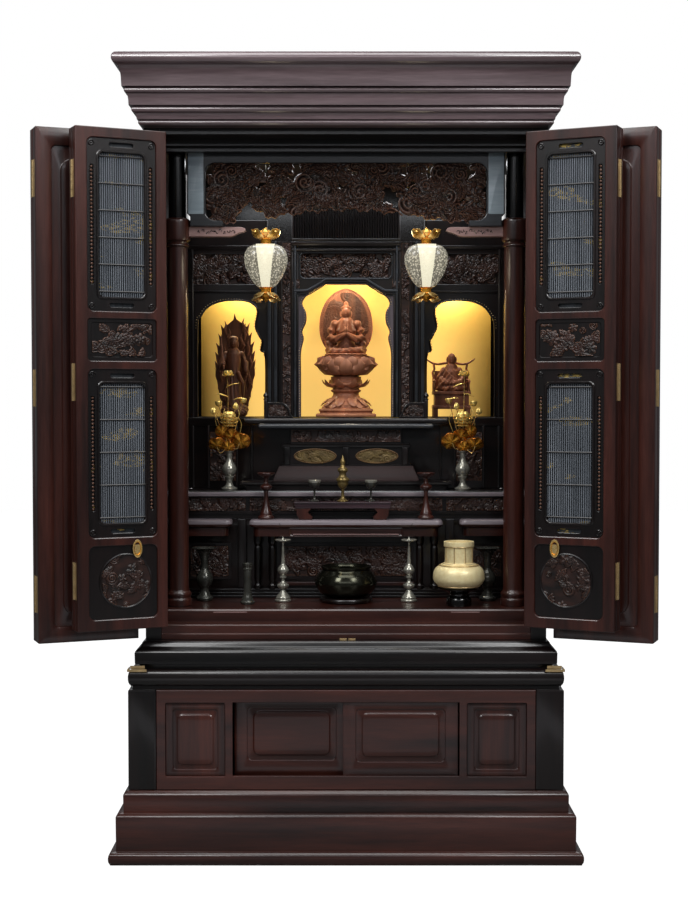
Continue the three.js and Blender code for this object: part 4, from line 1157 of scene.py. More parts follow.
def transom():
    frameFront, frameBack = -186, -166
    half, low, high, corner = 286, 1271, 1387, 20
    inner = [(-250, 1259.4), (-250, low), (-half + corner, low)]
    for cx, cz, start in ((-half + corner, low + corner, 270), (-half + corner, high - corner, 180)):
        inner += [(cx + corner * math.cos(math.radians(start - 15 * i)),
                   cz + corner * math.sin(math.radians(start - 15 * i)))
                  for i in range(7)]
    mirroredSide = [(-a, b) for a, b in reversed(inner)]
    top = room["ceiling"]
    outline = inner + mirroredSide + [(316.5, 1259.4), (316.5, 1279), (322.6, 1285), (322.6, top),
                                      (-322.6, top), (-322.6, 1285), (-316.5, 1279), (-316.5, 1259.4)]
    piece = Piece("transomFrame")
    board(piece, outline, [], frameFront, frameBack, "greyWoodAndSheen", 1.6)
    # stile plates painted pale as if lit by the lanterns and the ceiling
    for _, sign in sides:
        x0, x1 = sorted((sign * 289, sign * 320))
        panelStack(piece, [(x0, x1, 1284, 1407, 2, frameFront + 1), (x0, x1, 1284, 1407, 2, frameFront - 0.3),
                           (x0 + 1, x1 - 1, 1285, 1406, 2, frameFront - 0.8)], "paintedLitStile")
    piece.place("cabinet", "ebony", "transom_frame")
    carving = Piece("transomCarving")
    motif = foliage(11, -284, 284, 1268, 1386, 230, 24, 14)

    def edge(gx, gz):
        arch = 1266 + 27 * np.cos(np.pi * gx / 572) ** 2 + 3 * np.sin(gx * 0.14) + 2 * np.sin(gx * 0.37 + 1)
        return gz > arch

    relief(carving, -283, 283, 1264, 1386, -172, motif, "carved", 1.15, 2.2, edge)
    softBox(carving, -285, 285, -169.6, -167, 1386, 1392, "ebonyLevel", 0.6)
    carving.place("cabinet", "ebony", "transom_carving")


archEdge = [(98, 870), (98, 960), (98, 1010), (92, 1040), (95, 1056), (87, 1076), (87, 1098), (95, 1118),
            (80, 1138), (46, 1158)]
nicheEdge = [(326, 870), (326, 1062), (318, 1090), (300, 1112), (268, 1124), (222, 1124), (200, 1114),
             (193, 1098), (198, 1068), (189, 1046), (183, 1034), (186, 1014), (176, 998), (176, 870)]


def smoothEdge(points, steps=4):
    ends = [points[0] + (0,)] + points[1:-1] + [points[-1] + (0,)]
    return smoothProfile(ends, steps)


def beads(piece, path, y, radius, pitch, finish):
    left = 0.0
    for (a0, b0), (a1, b1) in zip(path, path[1:]):
        span = math.hypot(a1 - a0, b1 - b0)
        while left < span:
            a, b = a0 + (a1 - a0) * left / span, b0 + (b1 - b0) * left / span
            ball = [[(a + r * math.cos(t), y - d, b + r * math.sin(t)) for t in turns(8)]
                    for r, d in ((radius, -0.4), (radius * 0.86, radius * 0.5),
                                 (radius * 0.3, radius * 0.95))]
            skin(piece, ball, finish, False, True)
            left += pitch
        left -= span


def shrineFront():
    y = 30
    piece = Piece("shrineFront")
    edge = smoothEdge(archEdge)
    hole = edge + [(-a, b) for a, b in reversed(edge)]
    outline = [(-170, 868.5), (170, 868.5), (170, 1250), (118, 1250), (118, 1325.8), (-118, 1325.8),
               (-118, 1250), (-170, 1250)]
    board(piece, outline, [hole, roundRect(-98, 98, 1172, 1224, 9)], y, y + 26, "ebony", 1.4)
    relief(piece, -99, 99, 1171, 1225, y + 9, foliage(21, -95, 95, 1175, 1220, 70, 15, 8), "carved", 1.0)
    arch = [(-112, 1136), (-84, 1137), (-76, 1141), (-50, 1157), (-43, 1162), (43, 1162), (50, 1157),
            (76, 1141), (84, 1137), (112, 1136)]
    # the arch tubes take the grey finish as a painted highlight
    for lift, r, proud in ((6.5, 3.4, 4.5), (1.2, 2.0, 3), (-3.4, 1.2, 2)):
        tube(piece, [(a, y - proud, b + lift) for a, b in arch], r, "greyWoodAndSheen", 10)
    beads(piece, [(a * 1.035, b + 1) for a, b in edge], y - 0.3, 1.5, 5.5, "brass")
    beads(piece, [(-a * 1.035, b + 1) for a, b in edge], y - 0.3, 1.5, 5.5, "brass")
    # the panel's rim tube is a painted highlight line in the grey finish
    rim = roundRect(-100, 100, 1170, 1226, 10, 5)
    tube(piece, [(a, y - 0.6, b) for a, b in rim + rim[:1]], 1.6, "greyWoodAndSheen", 8)
    for _, sign in sides:
        # the proudest ribs take the grey finish as a painted highlight
        for near, far, proud in ((103, 107, 3), (108, 113, 7), (114, 120, 4), (138, 143, 5), (145, 148, 3),
                                 (150, 156, 6), (158, 162, 3), (163, 170, 6)):
            finish = "greyWoodAndSheen" if proud > 5 else "ebony"
            softBox(piece, sign * near, sign * far, y - proud, y + 1, 868.6, 1250, finish, 1)
        spandrel = [(a + 1.5, b) for a, b in edge if b < 1136] + [(103, 1136), (103, 872)]
        spandrel = [(sign * a, b) for a, b in spandrel]
        if sign > 0:
            spandrel.reverse()
        board(piece, spandrel, [], y - 1.4, y + 0.6, "spandrel", 0.3)
        x0, x1 = sorted((sign * 121, sign * 137))
        relief(piece, x0, x1, 872, 1246, y - 0.5, foliage(30 + sign, x0, x1, 880, 1240, 80, 9, 4), "carved",
               0.9)
        x0, x1 = sorted((sign * 101, sign * 117))
        relief(piece, x0, x1, 1150, 1168, y - 1, foliage(33, x0, x1, 1150, 1168, 10, 8, 4), "carved", 0.9)
    for z0, z1, proud in ((1228, 1234, 6), (1235, 1239, 3), (1240, 1249, 8), (1250, 1256, 5)):
        softBox(piece, -118, 118, y - proud, y + 2, z0, z1, "ebonyLevel", 1.2)
    count = 42
    for k in range(count):
        x = -114 + 228 * (k + 0.5) / count
        tube(piece, [(x, y - 1.4, 1258), (x, y - 1.4, 1325)], 1.7, "lac", 8)
    piece.place("cabinet", "ebony", "shrine_front")


def goldBack():
    piece = Piece("goldBoard")
    softBox(piece, -335, 335, 250, 256, 868.4, 1200, "leaf", 0.8)
    piece.place("cabinet", "gold_leaf", "gold_board")


def nicheFrames():
    y = 60
    for side, sign in sides:
        edge = [(sign * a, b) for a, b in smoothEdge(nicheEdge)]
        x0, x1 = sorted((sign * 170.5, sign * 371.4))
        piece = Piece("nicheFrame." + side)
        panel0, panel1 = sorted((sign * 190, sign * 340))
        hole = edge if sign < 0 else list(reversed(edge))
        board(piece, [(x0, 868.5), (x1, 868.5), (x1, 1299.6), (x0, 1299.6)],
              [hole, roundRect(panel0, panel1, 1160, 1226, 9)], y, y + 18, "ebony", 1.3)
        relief(piece, panel0 - 1, panel1 + 1, 1159, 1227, y + 8,
               foliage(50 + sign, panel0, panel1, 1165, 1222, 60, 17, 7), "carved", 1.1)
        tube(piece, [(a, y - 1.5, b) for a, b in edge], 2.2, "ebony", 8)
        beads(piece, [(a + sign * 3, b + 2) for a, b in edge[4:-4]], y - 0.2, 1.2, 6, "brass")
        softBox(piece, x0, x1, y - 5, y + 1, 1236, 1244, "ebonyLevel", 1)
        softBox(piece, x0, x1, y - 3, y + 1, 1140, 1146, "ebonyLevel", 1)
        for near in (334, 346, 358):
            softBox(piece, sign * near, sign * (near + 5), y - 4, y + 1, 869, 1240, "ebony", 1)
        piece.place("cabinet", "ebony", "niche_frame_" + side)


# stacked slabs given as (z, half width, front), the same back for all
def slabStack(piece, levels, back, finish, corner=2.0):
    skin(piece, [[(x, y, z) for x, y in roundRect(-half, half, front, back, corner, 3)]
                 for z, half, front in levels],
         finish)


def altarUpper():
    half = room["half"]
    piece = Piece("shrinePlatform")
    softBox(piece, -half, half, 56, 344, 850, room["platform"], "ebonyLevel", 1)
    softBox(piece, -half, half, 62, 74, room["tier"] + 0.4, 851, "ebonyLevel", 1)
    slabStack(piece, [(855, 218, 16), (856, 220.5, 13.5), (858.5, 222, 12), (864, 222, 12),
                      (866.5, 220.5, 13.5), (868, 217, 17)], 60, "ebonyLevel", 3)
    # this lower nose takes the grey finish as a painted highlight line
    slabStack(piece, [(844.4, 186, 6), (845.4, 188.6, 3.4), (847.5, 190, 2), (851, 190, 2),
                      (853.6, 188.6, 3.4), (855.5, 186, 6)], 60, "greyWoodAndSheen", 3)
    for _, sign in sides:
        outline = [(172, 868), (172, 902), (148, 902), (138, 901), (130, 897), (124, 889), (121, 879),
                   (114, 868)]
        outline = [(sign * a, b) for a, b in outline]
        inner = [(sign * a, b) for a, b in ((167, 872), (167, 897), (140, 896.5), (131, 891), (126, 882),
                                            (124, 872))]
        if sign < 0:
            outline.reverse()
            inner.reverse()
        board(piece, outline, [inner], 16, 23, "ebony", 1)
        x0, x1 = sorted((sign * 122, sign * 169))
        relief(piece, x0, x1, 870, 899, 20, foliage(70 + sign, x0, x1, 872, 898, 26, 9, 4), "carved", 0.8,
               inside=lambda gx, gz: (gz - 870) / 29 < ((np.abs(gx) - 118) / 22))
        softBox(piece, sign * 170, sign * 178, 14, 24, 868, 908, "ebony", 1.6)
        lathe(piece, [(0, 0), (5, 0, 0), (5.4, 2), (3.4, 4), (5.8, 9), (3, 14), (0.3, 17)], sign * 174, 19,
              907, "ebony", 20, 3)
        for near in (205, 238, 300, 334, 362):
            softBox(piece, sign * near, sign * (near + 5), 57, 63, 713, 850, "ebony", 1)
        x0, x1 = sorted((sign * 243, sign * 298))
        relief(piece, x0, x1, 730, 836, 61.5, foliage(90 + sign, x0, x1, 735, 830, 34, 17, 5), "carved", 1.1)
    piece.place("cabinet", "ebony", "shrine_platform")

    stand = Piece("altarPedestal")
    slabStack(stand, [(712.4, 216, -4), (722, 218, -4), (723.5, 226, -9), (725, 228, -10), (730, 228, -10),
                      (731.6, 225, -8)], 60, "ebonyLevel", 2)
    slabStack(stand, [(731.7, 158, 3), (734, 158, 3), (742, 155, 5.6), (750, 151, 8.4), (758, 147.6, 11),
                      (763.4, 146, 12)], 60, "dullRose", 2)
    slabStack(stand, [(763.5, 142, 13), (765.5, 142, 13), (766, 135, 16), (804, 135, 16), (805, 138.6, 11),
                      (806.5, 139.4, 10.4), (810, 139.4, 10.4), (811.5, 138, 12)], 60, "ebonyLevel", 1.5)
    slabStack(stand, [(811.6, 122, 26), (843.5, 122, 26)], 60, "ebonyLevel", 1.5)
    for x in (-67, 67):
        ring = [[(x + (45 + i) * math.cos(t), 16 - d, 785 + (15 + i) * math.sin(t))
                 for t in turns(48)] for i, d in ((1.6, 0), (1.2, 2), (0, 2.4), (-1.6, 0.2))]
        skin(stand, ring, "dimGold", False, False)
        relief(stand, x - 45, x + 45, 770, 800, 15.6,
               foliage(int(100 + x), x - 40, x + 40, 772, 798, 20, 12, 2.6), "dimGold", 0.9,
               inside=lambda gx, gz, x=x: ((gx - x) / 44) ** 2 + ((gz - 785) / 14) ** 2 < 1)
    for x in (-128, 0, 128):
        softBox(stand, x - 6, x + 6, 12, 17, 767, 804, "ebony", 1)
    relief(stand, -118, 118, 816, 841, 25.6, foliage(120, -116, 116, 818, 840, 50, 11, 3), "carved", 1.0)
    stand.place("cabinet", "ebony", "altar_pedestal")


def altarLower():
    half = room["half"]
    band = Piece("tierCarving")
    for x0, x1 in ((-364, -216), (-206, 206), (216, 364)):
        relief(band, x0, x1, 670, 696, -24.2,
               foliage(int(130 + x0), x0, x1, 671, 695, int((x1 - x0) / 3.2), 11, 3.4), "carved", 1.0)
    # the tier nose takes the painted sheen
    softBox(band, -half + 1, half - 1, -37.4, -33, 700.6, 709.4, "noseSheen", 1.6)
    band.place("cabinet", "ebony")

    piece = Piece("altarBase")
    for z0, z1, y0 in ((room["floor"], 490, -48), (490, 496.4, -44), (496.4, 503, -40)):
        softBox(piece, -half, half, y0, -8, z0, z1, "ebonyLevel", 1.4)
    softBox(piece, -half, half, -25, -8, 502, room["desk"] - 1, "ebonyLevel", 0.8)
    softBox(piece, -half, half, -26, 62, 638, room["desk"] - 0.1, "ebonyLevel", 0.8)

    def shelf(x0, x1, front):
        # the upper half of each shelf nose takes the painted sheen
        for finish, levels in (("rosewoodLevel",
                                ((618, 9), (635, 8.6), (637, 6), (638, 2.4), (640.5, 0.6), (643, 0))),
                               ("noseSheen", ((643, 0), (648, 0), (651, 1.4), (653, 5)))):
            loops = [[(x, y, z) for x, y in roundRect(x0 + i, x1 - i, front + i, -20, 13, 5)]
                     for z, i in levels]
            skin(piece, loops, finish)
    shelf(-205, 205, -80)
    for _, sign in sides:
        x0, x1 = sorted((sign * 242, sign * half))
        shelf(x0, x1, -70)
    panelStack(piece, [(-121, 121, 617, 637, 3, -68), (-121, 121, 617, 637, 3, -73.4),
                       (-119, 119, 619, 635, 3, -74), (-117, 117, 621, 633.4, 3, -72.4),
                       (-115, 115, 622.6, 632, 3, -72.6)], "rosewoodLevel")
    tube(piece, [(-112, -74, 622.4), (112, -74, 622.4)], 1.1, "mauve", 8)
    for _, sign in sides:
        tube(piece, [(sign * 137, -80.1, 640), (sign * 141, -80.2, 646), (sign * 146, -72, 653.1),
                     (sign * 158, -36, 653.1)],
             0.5, "lac", 6)
        for x in (158, 189):
            lathe(piece, [(0, 0), (9, 0, 0), (9, 7, 0), (7, 9), (5.6, 16), (7.6, 24), (7.6, 84), (5.6, 92),
                          (8.4, 98), (9, 103), (9, 116, 0), (0, 116)], sign * x, -33, 502, "ebony", 28, 4)
        softBox(piece, sign * 214, sign * 232, -34, -20, 503, 652, "ebony", 1.6)
        x0, x1 = sorted((sign * 246, sign * 340))
        panelStack(piece, [(x0, x1, 522, 600, 5, -24), (x0, x1, 522, 600, 5, -28),
                           (x0 + 6, x1 - 6, 528, 594, 4, -28), (x0 + 7, x1 - 7, 529, 593, 4, -25.4)],
                   "ebonyLevel")
        relief(piece, x0 + 7, x1 - 7, 529, 593, -25.6,
               foliage(150 + sign, x0 + 10, x1 - 10, 533, 590, 30, 17, 5), "carved", 1.0)
    panelStack(piece, [(-146, 146, 522, 600, 5, -24), (-146, 146, 522, 600, 5, -28),
                       (-140, 140, 528, 594, 4, -28), (-139, 139, 529, 593, 4, -25.4)], "ebonyLevel")
    relief(piece, -138, 138, 530, 592, -25.6, foliage(160, -134, 134, 533, 590, 90, 16, 5), "carved", 1.1)
    softBox(piece, -146, 146, -30, -24, 508, 516, "rosewoodLevel", 1.4)
    piece.place("cabinet", "ebony", "altar_base")


pillars()
transom()
shrineFront()
goldBack()
nicheFrames()
altarUpper()
altarLower()
print("altar room ready")

# figures, all in figure wood

statue = {"y": 130, "seat": 868.3, "seatTop": 1006.6}
guard = {"x": -252, "y": 140}
abbot = {"x": 236, "y": 140}


# a cupped petal or leaf: a flattened bar along (reach, rise) points, turned about a centre
def petal(piece, centre, angle, path, widths, finish, flat=0.22, segments=8):
    x, y, z = centre
    c, s = math.cos(angle), math.sin(angle)
    tube(piece, [(x + r * c, y + r * s, z + h) for r, h in path], widths, finish, segments, flat)


def petalRing(piece, centre, count, path, widths, finish, phase=0.0, flat=0.22):
    for k in range(count):
        petal(piece, centre, phase + 2 * math.pi * k / count, path, widths, finish, flat)


def lotusSeat():
    x, y, z = 0, statue["y"], statue["seat"]
    piece = Piece("lotusPedestal")
    flatSide = math.pi / 6
    for points in ([(0, 0, 0), (75, 0, 0), (77, 2), (77, 6), (75, 8, 0), (0, 8, 0)],
                   [(0, 7, 0), (68, 7, 0), (67, 12), (70, 14), (69, 18, 0), (58, 21), (57, 27, 0),
                    (0, 27, 0)]):
        loops = []
        for r, h in smoothProfile(points, 3):
            loops.append([(x + max(r, 0.02) * math.cos(a), y + max(r, 0.02) * math.sin(a), z + h)
                          for a in (flatSide + 2 * math.pi * k / 6 for k in range(6))])
        skin(piece, loops, "figure")
    lathe(piece, [(0, 26, 0), (50, 26, 0), (45, 32), (36, 40), (30, 48), (29, 54), (33, 57), (34, 60),
                  (30, 62, 0), (30, 68, 0), (37, 71), (37, 75), (34, 78, 0), (34, 90, 0), (26, 92, 0),
                  (27, 98), (0, 99, 0)],
          x, y, z, "figure", 36, 4)
    for ring, phase in ((0, 0), (1, math.pi / 10)):
        petalRing(piece, (x, y, z), 10,
                  [(30, 44 - ring * 6), (42, 38 - ring * 6), (52, 30 - ring * 6), (57, 24 - ring * 5)],
                  [4, 10, 9, 2], "figure", phase)
    petalRing(piece, (x, y, z), 9, [(30, 66), (42, 70), (50, 76), (55, 84)], [5, 11, 8, 1.5], "figure", 0.2)
    lathe(piece, [(0, 92, 0), (30, 92, 0), (42, 98), (50, 108), (53, 122), (50, 134), (50, 137.4, 0),
                  (0, 137.8, 0)],
          x, y, z, "figure", 40, 4)
    petalRing(piece, (x, y, z), 12, [(34, 94), (47, 97), (56, 106), (59, 118), (57, 129)],
              [5, 12, 15, 13, 3], "figure")
    petalRing(piece, (x, y, z), 12, [(36, 100), (50, 106), (55, 118), (55, 130), (51, 137)],
              [5, 12, 13, 11, 3], "figure", math.pi / 12)
    piece.place("cabinet", "figure_wood", "lotus_pedestal", crease=50)


def headDetail(piece, x, y, z, width, finish):
    for s in (-1, 1):
        eye = [(x + s * width * (0.2 + 0.11 * k), y - width * (0.93 - 0.07 * k * k), z + 1.2 - 0.3 * k)
               for k in range(4)]
        tube(piece, eye, [0.2, 0.5, 0.5, 0.2], finish, 6)
        brow = [(a, b + 0.2, c + 3 + 0.5 * math.sin(math.pi * i / 3)) for i, (a, b, c) in enumerate(eye)]
        tube(piece, brow, [0.2, 0.5, 0.5, 0.2], finish, 6)
        tube(piece, [(x + s * width, y + 1, z + 4), (x + s * (width + 1), y + 1, z - 2),
                     (x + s * width, y, z - 9)],
             [1.2, 1.9, 1.2], finish, 8, 0.6)
    tube(piece, [(x, y - width * 0.93, z + 4), (x, y - width * 1.04, z - 2), (x, y - width * 0.98, z - 3.4)],
         [0.6, 1.4, 1.0], finish, 8)
    tube(piece, [(x - 2.6, y - width * 0.88, z - 6.6), (x, y - width * 0.95, z - 7),
                 (x + 2.6, y - width * 0.88, z - 6.6)],
         [0.3, 0.9, 0.3], finish, 6)


def seatedFigure():
    y, z = statue["y"], statue["seatTop"]
    blobs = [
        ("ball", (0, y + 2, z + 12), (31, 24, 11), 0),
        ("limb", [(-14, y + 2, z + 10), (-38, y - 8, z + 10), (-30, y - 22, z + 8), (4, y - 27, z + 8)],
         [13, 11, 9, 5]),
        ("limb", [(14, y + 2, z + 11), (38, y - 8, z + 11), (30, y - 21, z + 11), (-6, y - 26, z + 11)],
         [13, 11, 8, 5]),
        ("limb", [(0, y, z + 16), (0, y + 1, z + 34), (0, y, z + 54), (0, y - 1, z + 68)], [22, 19, 24, 20]),
        ("ball", (0, y, z + 70), (29, 13, 9), 0),
        ("limb", [(0, y - 2, z + 70), (0, y - 3, z + 84)], [9, 7.4]),
        ("ball", (0, y - 5, z + 94), (11, 12, 14), 0),
        ("ball", (0, y - 1, z + 103), (10.6, 11, 9), 0),
        ("ball", (0, y, z + 114), (5.5, 5.5, 6.5), 0),
    ]
    for s in (-1, 1):
        blobs.append(("limb", [(s * 25, y, z + 69), (s * 34, y - 2, z + 54), (s * 36, y - 9, z + 38),
                               (s * 21, y - 21, z + 35), (s * 4, y - 28, z + 46)], [10.5, 10, 9.6, 8, 5]))
        blobs.append(("ball", (s * 2.4, y - 29, z + 56), (2.2, 3.4, 9), -12))
        blobs.append(("limb", [(s * 33, y - 8, z + 40), (s * 38, y - 10, z + 26), (s * 35, y - 10, z + 16)],
                      [5, 7, 6]))

    def folds(verts):
        low = np.clip((z + 66 - verts[:, 2]) / 20, 0, 1)
        bend = verts[:, 2] * 0.55 + np.abs(verts[:, 0]) * 0.42
        return low * 0.55 * np.sin(bend) * (verts[:, 1] < y + 14)
    sculpt("buddha", blobs, 1.25, "cabinet", "figure_wood", "figure", ["buddha"], folds)
    detail = Piece("buddhaDetail")
    headDetail(detail, 0, y - 5, z + 94, 11, "figure")
    for k in range(9):
        a = math.pi * (0.08 + 0.84 * k / 8)
        lathe(detail, [(0, 0), (1.6, 1), (1.1, 3.6), (0, 5)], 11 * math.cos(a), y - 4 - 8 * math.sin(a) * 0.7,
              z + 102 + 3 * math.sin(a), "figure", 10, 3)
    lathe(detail, [(0, 0), (46, 0, 0), (48, 1.6), (46, 3.2, 0), (0, 3.2, 0)], 0, y, z - 0.2, "figure", 40, 3)
    detail.place("cabinet", "figure_wood", crease=50)


def leafHalo():
    y, z = statue["y"] + 36, statue["seatTop"]
    halfEdge = [(18, 0), (36, 10), (51, 28), (58, 52), (58, 78), (53, 102), (42, 124), (24, 141), (4, 150)]
    right = smoothEdge(halfEdge, 4)
    outline = [(a, z + b) for a, b in right] + [(-a, z + b) for a, b in reversed(right)]
    piece = Piece("mandorla")
    board(piece, outline, [], y, y + 5, "figure", 0.8)
    tube(piece, [(a, y - 0.6, b) for a, b in outline], 1.6, "figure", 8)
    beads(piece, [(a * 0.94, z + 8 + (b - z - 8) * 0.955) for a, b in outline], y + 0.1, 1.3, 4.2, "figure")
    heights = np.array([b for _, b in right]) + z
    reach = np.array([a for a, _ in right])
    motif = foliage(210, -54, 54, z, z + 148, 90, 17, 3.2)
    relief(piece, -52, 52, z + 6, z + 142, y + 0.2, motif, "figureDark", 1.2,
           inside=lambda gx, gz: np.abs(gx) < np.interp(gz, heights, reach) - 7)
    piece.place("cabinet", "figure_wood", "mandorla")


def standingGuard():
    x, y, z = guard["x"], guard["y"], 868.3
    rng = random.Random(3)
    blobs = [("ball", (x + rng.uniform(-18, 18), y + rng.uniform(-14, 12), z + 12 + rng.uniform(-3, 6)),
              (rng.uniform(13, 20), rng.uniform(12, 17), rng.uniform(9, 13)), rng.uniform(-30, 30))
             for _ in range(9)]
    blobs += [
        ("limb", [(x, y, z + 26), (x, y, z + 50), (x, y, z + 84), (x, y - 1, z + 104)], [18, 16, 14, 13]),
        ("limb", [(x, y - 1, z + 100), (x, y, z + 124), (x, y, z + 142)], [13, 16, 16]),
        ("ball", (x, y, z + 141), (21, 11, 9), 0),
        ("limb", [(x, y - 2, z + 142), (x, y - 3, z + 154)], [7, 6]),
        ("ball", (x, y - 4, z + 166), (9.5, 10, 12), 0),
        ("ball", (x, y - 1, z + 174), (11, 11, 8), 0),
        ("limb", [(x - 18, y, z + 141), (x - 27, y - 6, z + 122), (x - 26, y - 14, z + 108),
                  (x - 21, y - 25, z + 119)],
         [7, 6.4, 5.6, 4.6]),
        ("limb", [(x + 18, y, z + 141), (x + 27, y - 4, z + 122), (x + 28, y - 11, z + 102)], [7, 6.4, 5.2]),
        ("limb", [(x + 10, y - 12, z + 100), (x + 22, y - 10, z + 74), (x + 21, y - 6, z + 40)], [5, 5, 3]),
    ]

    def folds(verts):
        robe = np.clip((verts[:, 2] - z - 30) / 12, 0, 1) * np.clip((z + 112 - verts[:, 2]) / 14, 0, 1)
        around = np.arctan2(verts[:, 1] - y, verts[:, 0] - x)
        rough = np.clip((z + 30 - verts[:, 2]) / 8, 0, 1)
        chips = rough * np.sin(verts[:, 0] * 0.7) * np.sin(verts[:, 2])
        return robe * 0.9 * np.sin(around * 11 + verts[:, 2] * 0.05) + chips
    sculpt("guardian", blobs, 1.3, "cabinet", "figure_wood", "figureDark", ["guardian"], folds)
    piece = Piece("guardianDetail")
    headDetail(piece, x, y - 4, z + 166, 9.5, "figureDark")
    tube(piece, [(x - 20, y - 26, z + 108), (x - 22, y - 27, z + 122)], 1.8, "figureDark", 8)
    tube(piece, [(x - 26, y - 27, z + 122), (x - 17, y - 27, z + 123)], 1.4, "figureDark", 8)
    tube(piece, [(x - 22, y - 27, z + 122), (x - 24, y - 28, z + 152), (x - 26, y - 29, z + 184)],
         [2.6, 2.4, 0.5], "figureDark", 8, 0.4)
    rope = [(x + 28 + 2 * math.sin(k * 0.9), y - 13, z + 102 - k * 5) for k in range(10)]
    tube(piece, rope, 1.1, "figureDark", 8)
    piece.place("cabinet", "figure_wood", crease=50)


def flames():
    x, y, z = guard["x"], guard["y"] + 47, 868.3
    piece = Piece("flameHalo")
    rng = random.Random(8)
    outline = []
    steps = 9
    for k in range(steps):
        t = k / steps
        h = 24 + 186 * t
        w = 18 + 25 * math.sin(math.pi * (0.16 + 0.76 * t))
        outline += [(w, h), (w + rng.uniform(0, 3), h + 9), (w + rng.uniform(2, 5), h + 24), (w - 4, h + 15)]
    loop = [(x + 12, z)] + [(x + a, z + b) for a, b in outline] + [(x + 3, z + 222), (x - 1, z + 235),
                                                                   (x - 4, z + 220)]
    loop += [(x - a, z + b - 3) for a, b in reversed(outline)] + [(x - 12, z)]
    board(piece, loop, [], y - 3, y + 3, "figureDark", 0.7)
    for k in range(30):
        t = k / 30
        w = (10 + 26 * math.sin(math.pi * (0.14 + 0.78 * t))) * rng.uniform(0.35, 1)
        s = rng.choice((-1, 1))
        h = 22 + 176 * t
        sway = rng.uniform(2, 7)
        tube(piece, [(x + s * w, y - 3, z + h), (x + s * (w + sway), y - 5, z + h + 11),
                     (x + s * w, y - 5, z + h + 22), (x + s * (w + 3), y - 3.4, z + h + 32)],
             [2.4, 3.4, 2.2, 0.4], "figureDark", 8, 0.7)
    piece.place("cabinet", "figure_wood", "flame_halo")


def seatedMonk():
    x, y, z = abbot["x"], abbot["y"], 868.3
    chair = Piece("monkChair")
    softBox(chair, x - 42, x + 42, y - 34, y + 30, z + 50, z + 58, "figure", 1.4)
    softBox(chair, x - 38, x + 38, y - 30, y + 27, z + 26, z + 50, "figure", 1)
    softBox(chair, x - 42, x + 42, y - 34, y + 30, z + 18, z + 26, "figure", 1.4)
    for s in (-1, 1):
        for t in (-29, 23):
            softBox(chair, x + s * 36 - 5, x + s * 36 + 5, y + t - 4, y + t + 5, z, z + 27, "figure", 1.2)
        tube(chair, [(x + s * 38, y + 27, z + 57), (x + s * 38, y + 27, z + 90),
                     (x + s * 40, y + 27, z + 100), (x + s * 36, y + 27, z + 108),
                     (x + s * 38, y + 27, z + 121)], [3, 3, 2.8, 2.6, 2.6], "figure", 10)
        tube(chair, [(x + s * 39, y + 26, z + 84), (x + s * 39, y - 10, z + 83), (x + s * 39, y - 31, z + 80),
                     (x + s * 39, y - 31, z + 58)], [2.4, 2.4, 2.6, 2.4], "figure", 10)
        for k in range(4):
            softBox(chair, x + s * 39 - 1.4, x + s * 39 + 1.4, y - 22 + 12 * k, y - 19 + 12 * k, z + 58,
                    z + 83, "figure", 0.6)
    yoke = [(x + 56 * t, y + 27, z + 120 + 3 * math.cos(5 * t) + 11 * abs(t) ** 3)
            for t in (k / 8 - 1 for k in range(17))]
    tube(chair, yoke, [1.2 + 2 * (1 - abs(k / 8 - 1)) ** 0.4 for k in range(17)], "figure", 10)
    softBox(chair, x - 36, x + 36, y + 25, y + 29, z + 60, z + 104, "figure", 0.8)
    for near in (-26, 26):
        softBox(chair, x + near - 1.2, x + near + 1.2, y + 23.4, y + 26, z + 60, z + 104, "figure", 0.5)
    chair.place("cabinet", "figure_wood", "monk_chair")

    cy, cz = y - 10, z + 58.3
    blobs = [
        ("ball", (x, cy, cz + 9), (29, 25, 9), 0),
        ("limb", [(x, cy, cz + 10), (x, cy, cz + 28), (x, cy, cz + 44), (x, cy, cz + 50)], [24, 20, 20, 15]),
        ("limb", [(x, cy - 1, cz + 52), (x, cy - 3, cz + 62)], [8, 6.6]),
        ("ball", (x, cy - 4, cz + 72), (9.4, 10.4, 12.5), 0),
    ]
    for s in (-1, 1):
        blobs.append(("limb", [(x + s * 17, cy, cz + 46), (x + s * 26, cy - 6, cz + 30),
                               (x + s * 18, cy - 18, cz + 20), (x + s * 5, cy - 24, cz + 19)], [8, 8, 7, 5]))
        blobs.append(("limb", [(x + s * 22, cy - 12, cz + 22), (x + s * 26, cy - 14, cz + 8)], [7, 6]))
        blobs.append(("limb", [(x + s * 6, cy, cz + 6), (x + s * 28, cy - 8, cz + 6),
                               (x + s * 10, cy - 22, cz + 5)],
                      [9, 8, 5]))

    def folds(verts):
        low = np.clip((cz + 54 - verts[:, 2]) / 10, 0, 1)
        return low * 0.7 * np.sin(verts[:, 2] * 0.5 + np.abs(verts[:, 0] - x) * 0.6)
    sculpt("monk", blobs, 1.2, "cabinet", "figure_wood", "figure", ["monk"], folds)
    detail = Piece("monkDetail")
    headDetail(detail, x, cy - 4, cz + 72, 9.4, "figure")
    tube(detail, [(x - 16, cy - 12, cz + 52), (x - 4, cy - 20, cz + 36), (x + 10, cy - 20, cz + 26)],
         [1, 1.4, 1], "figure", 8)
    detail.place("cabinet", "figure_wood", crease=50)


lotusSeat()
seatedFigure()
leafHalo()
standingGuard()
flames()
seatedMonk()
print("figures ready")

# lanterns

lantern = {"x": 166, "y": -120, "profile": [(12, 1140, 0), (19, 1142), (28, 1151), (38, 1166), (45, 1183),
                                            (48, 1199), (45.5, 1212), (37, 1223), (24, 1228),
                                            (12, 1228.6, 0)]}


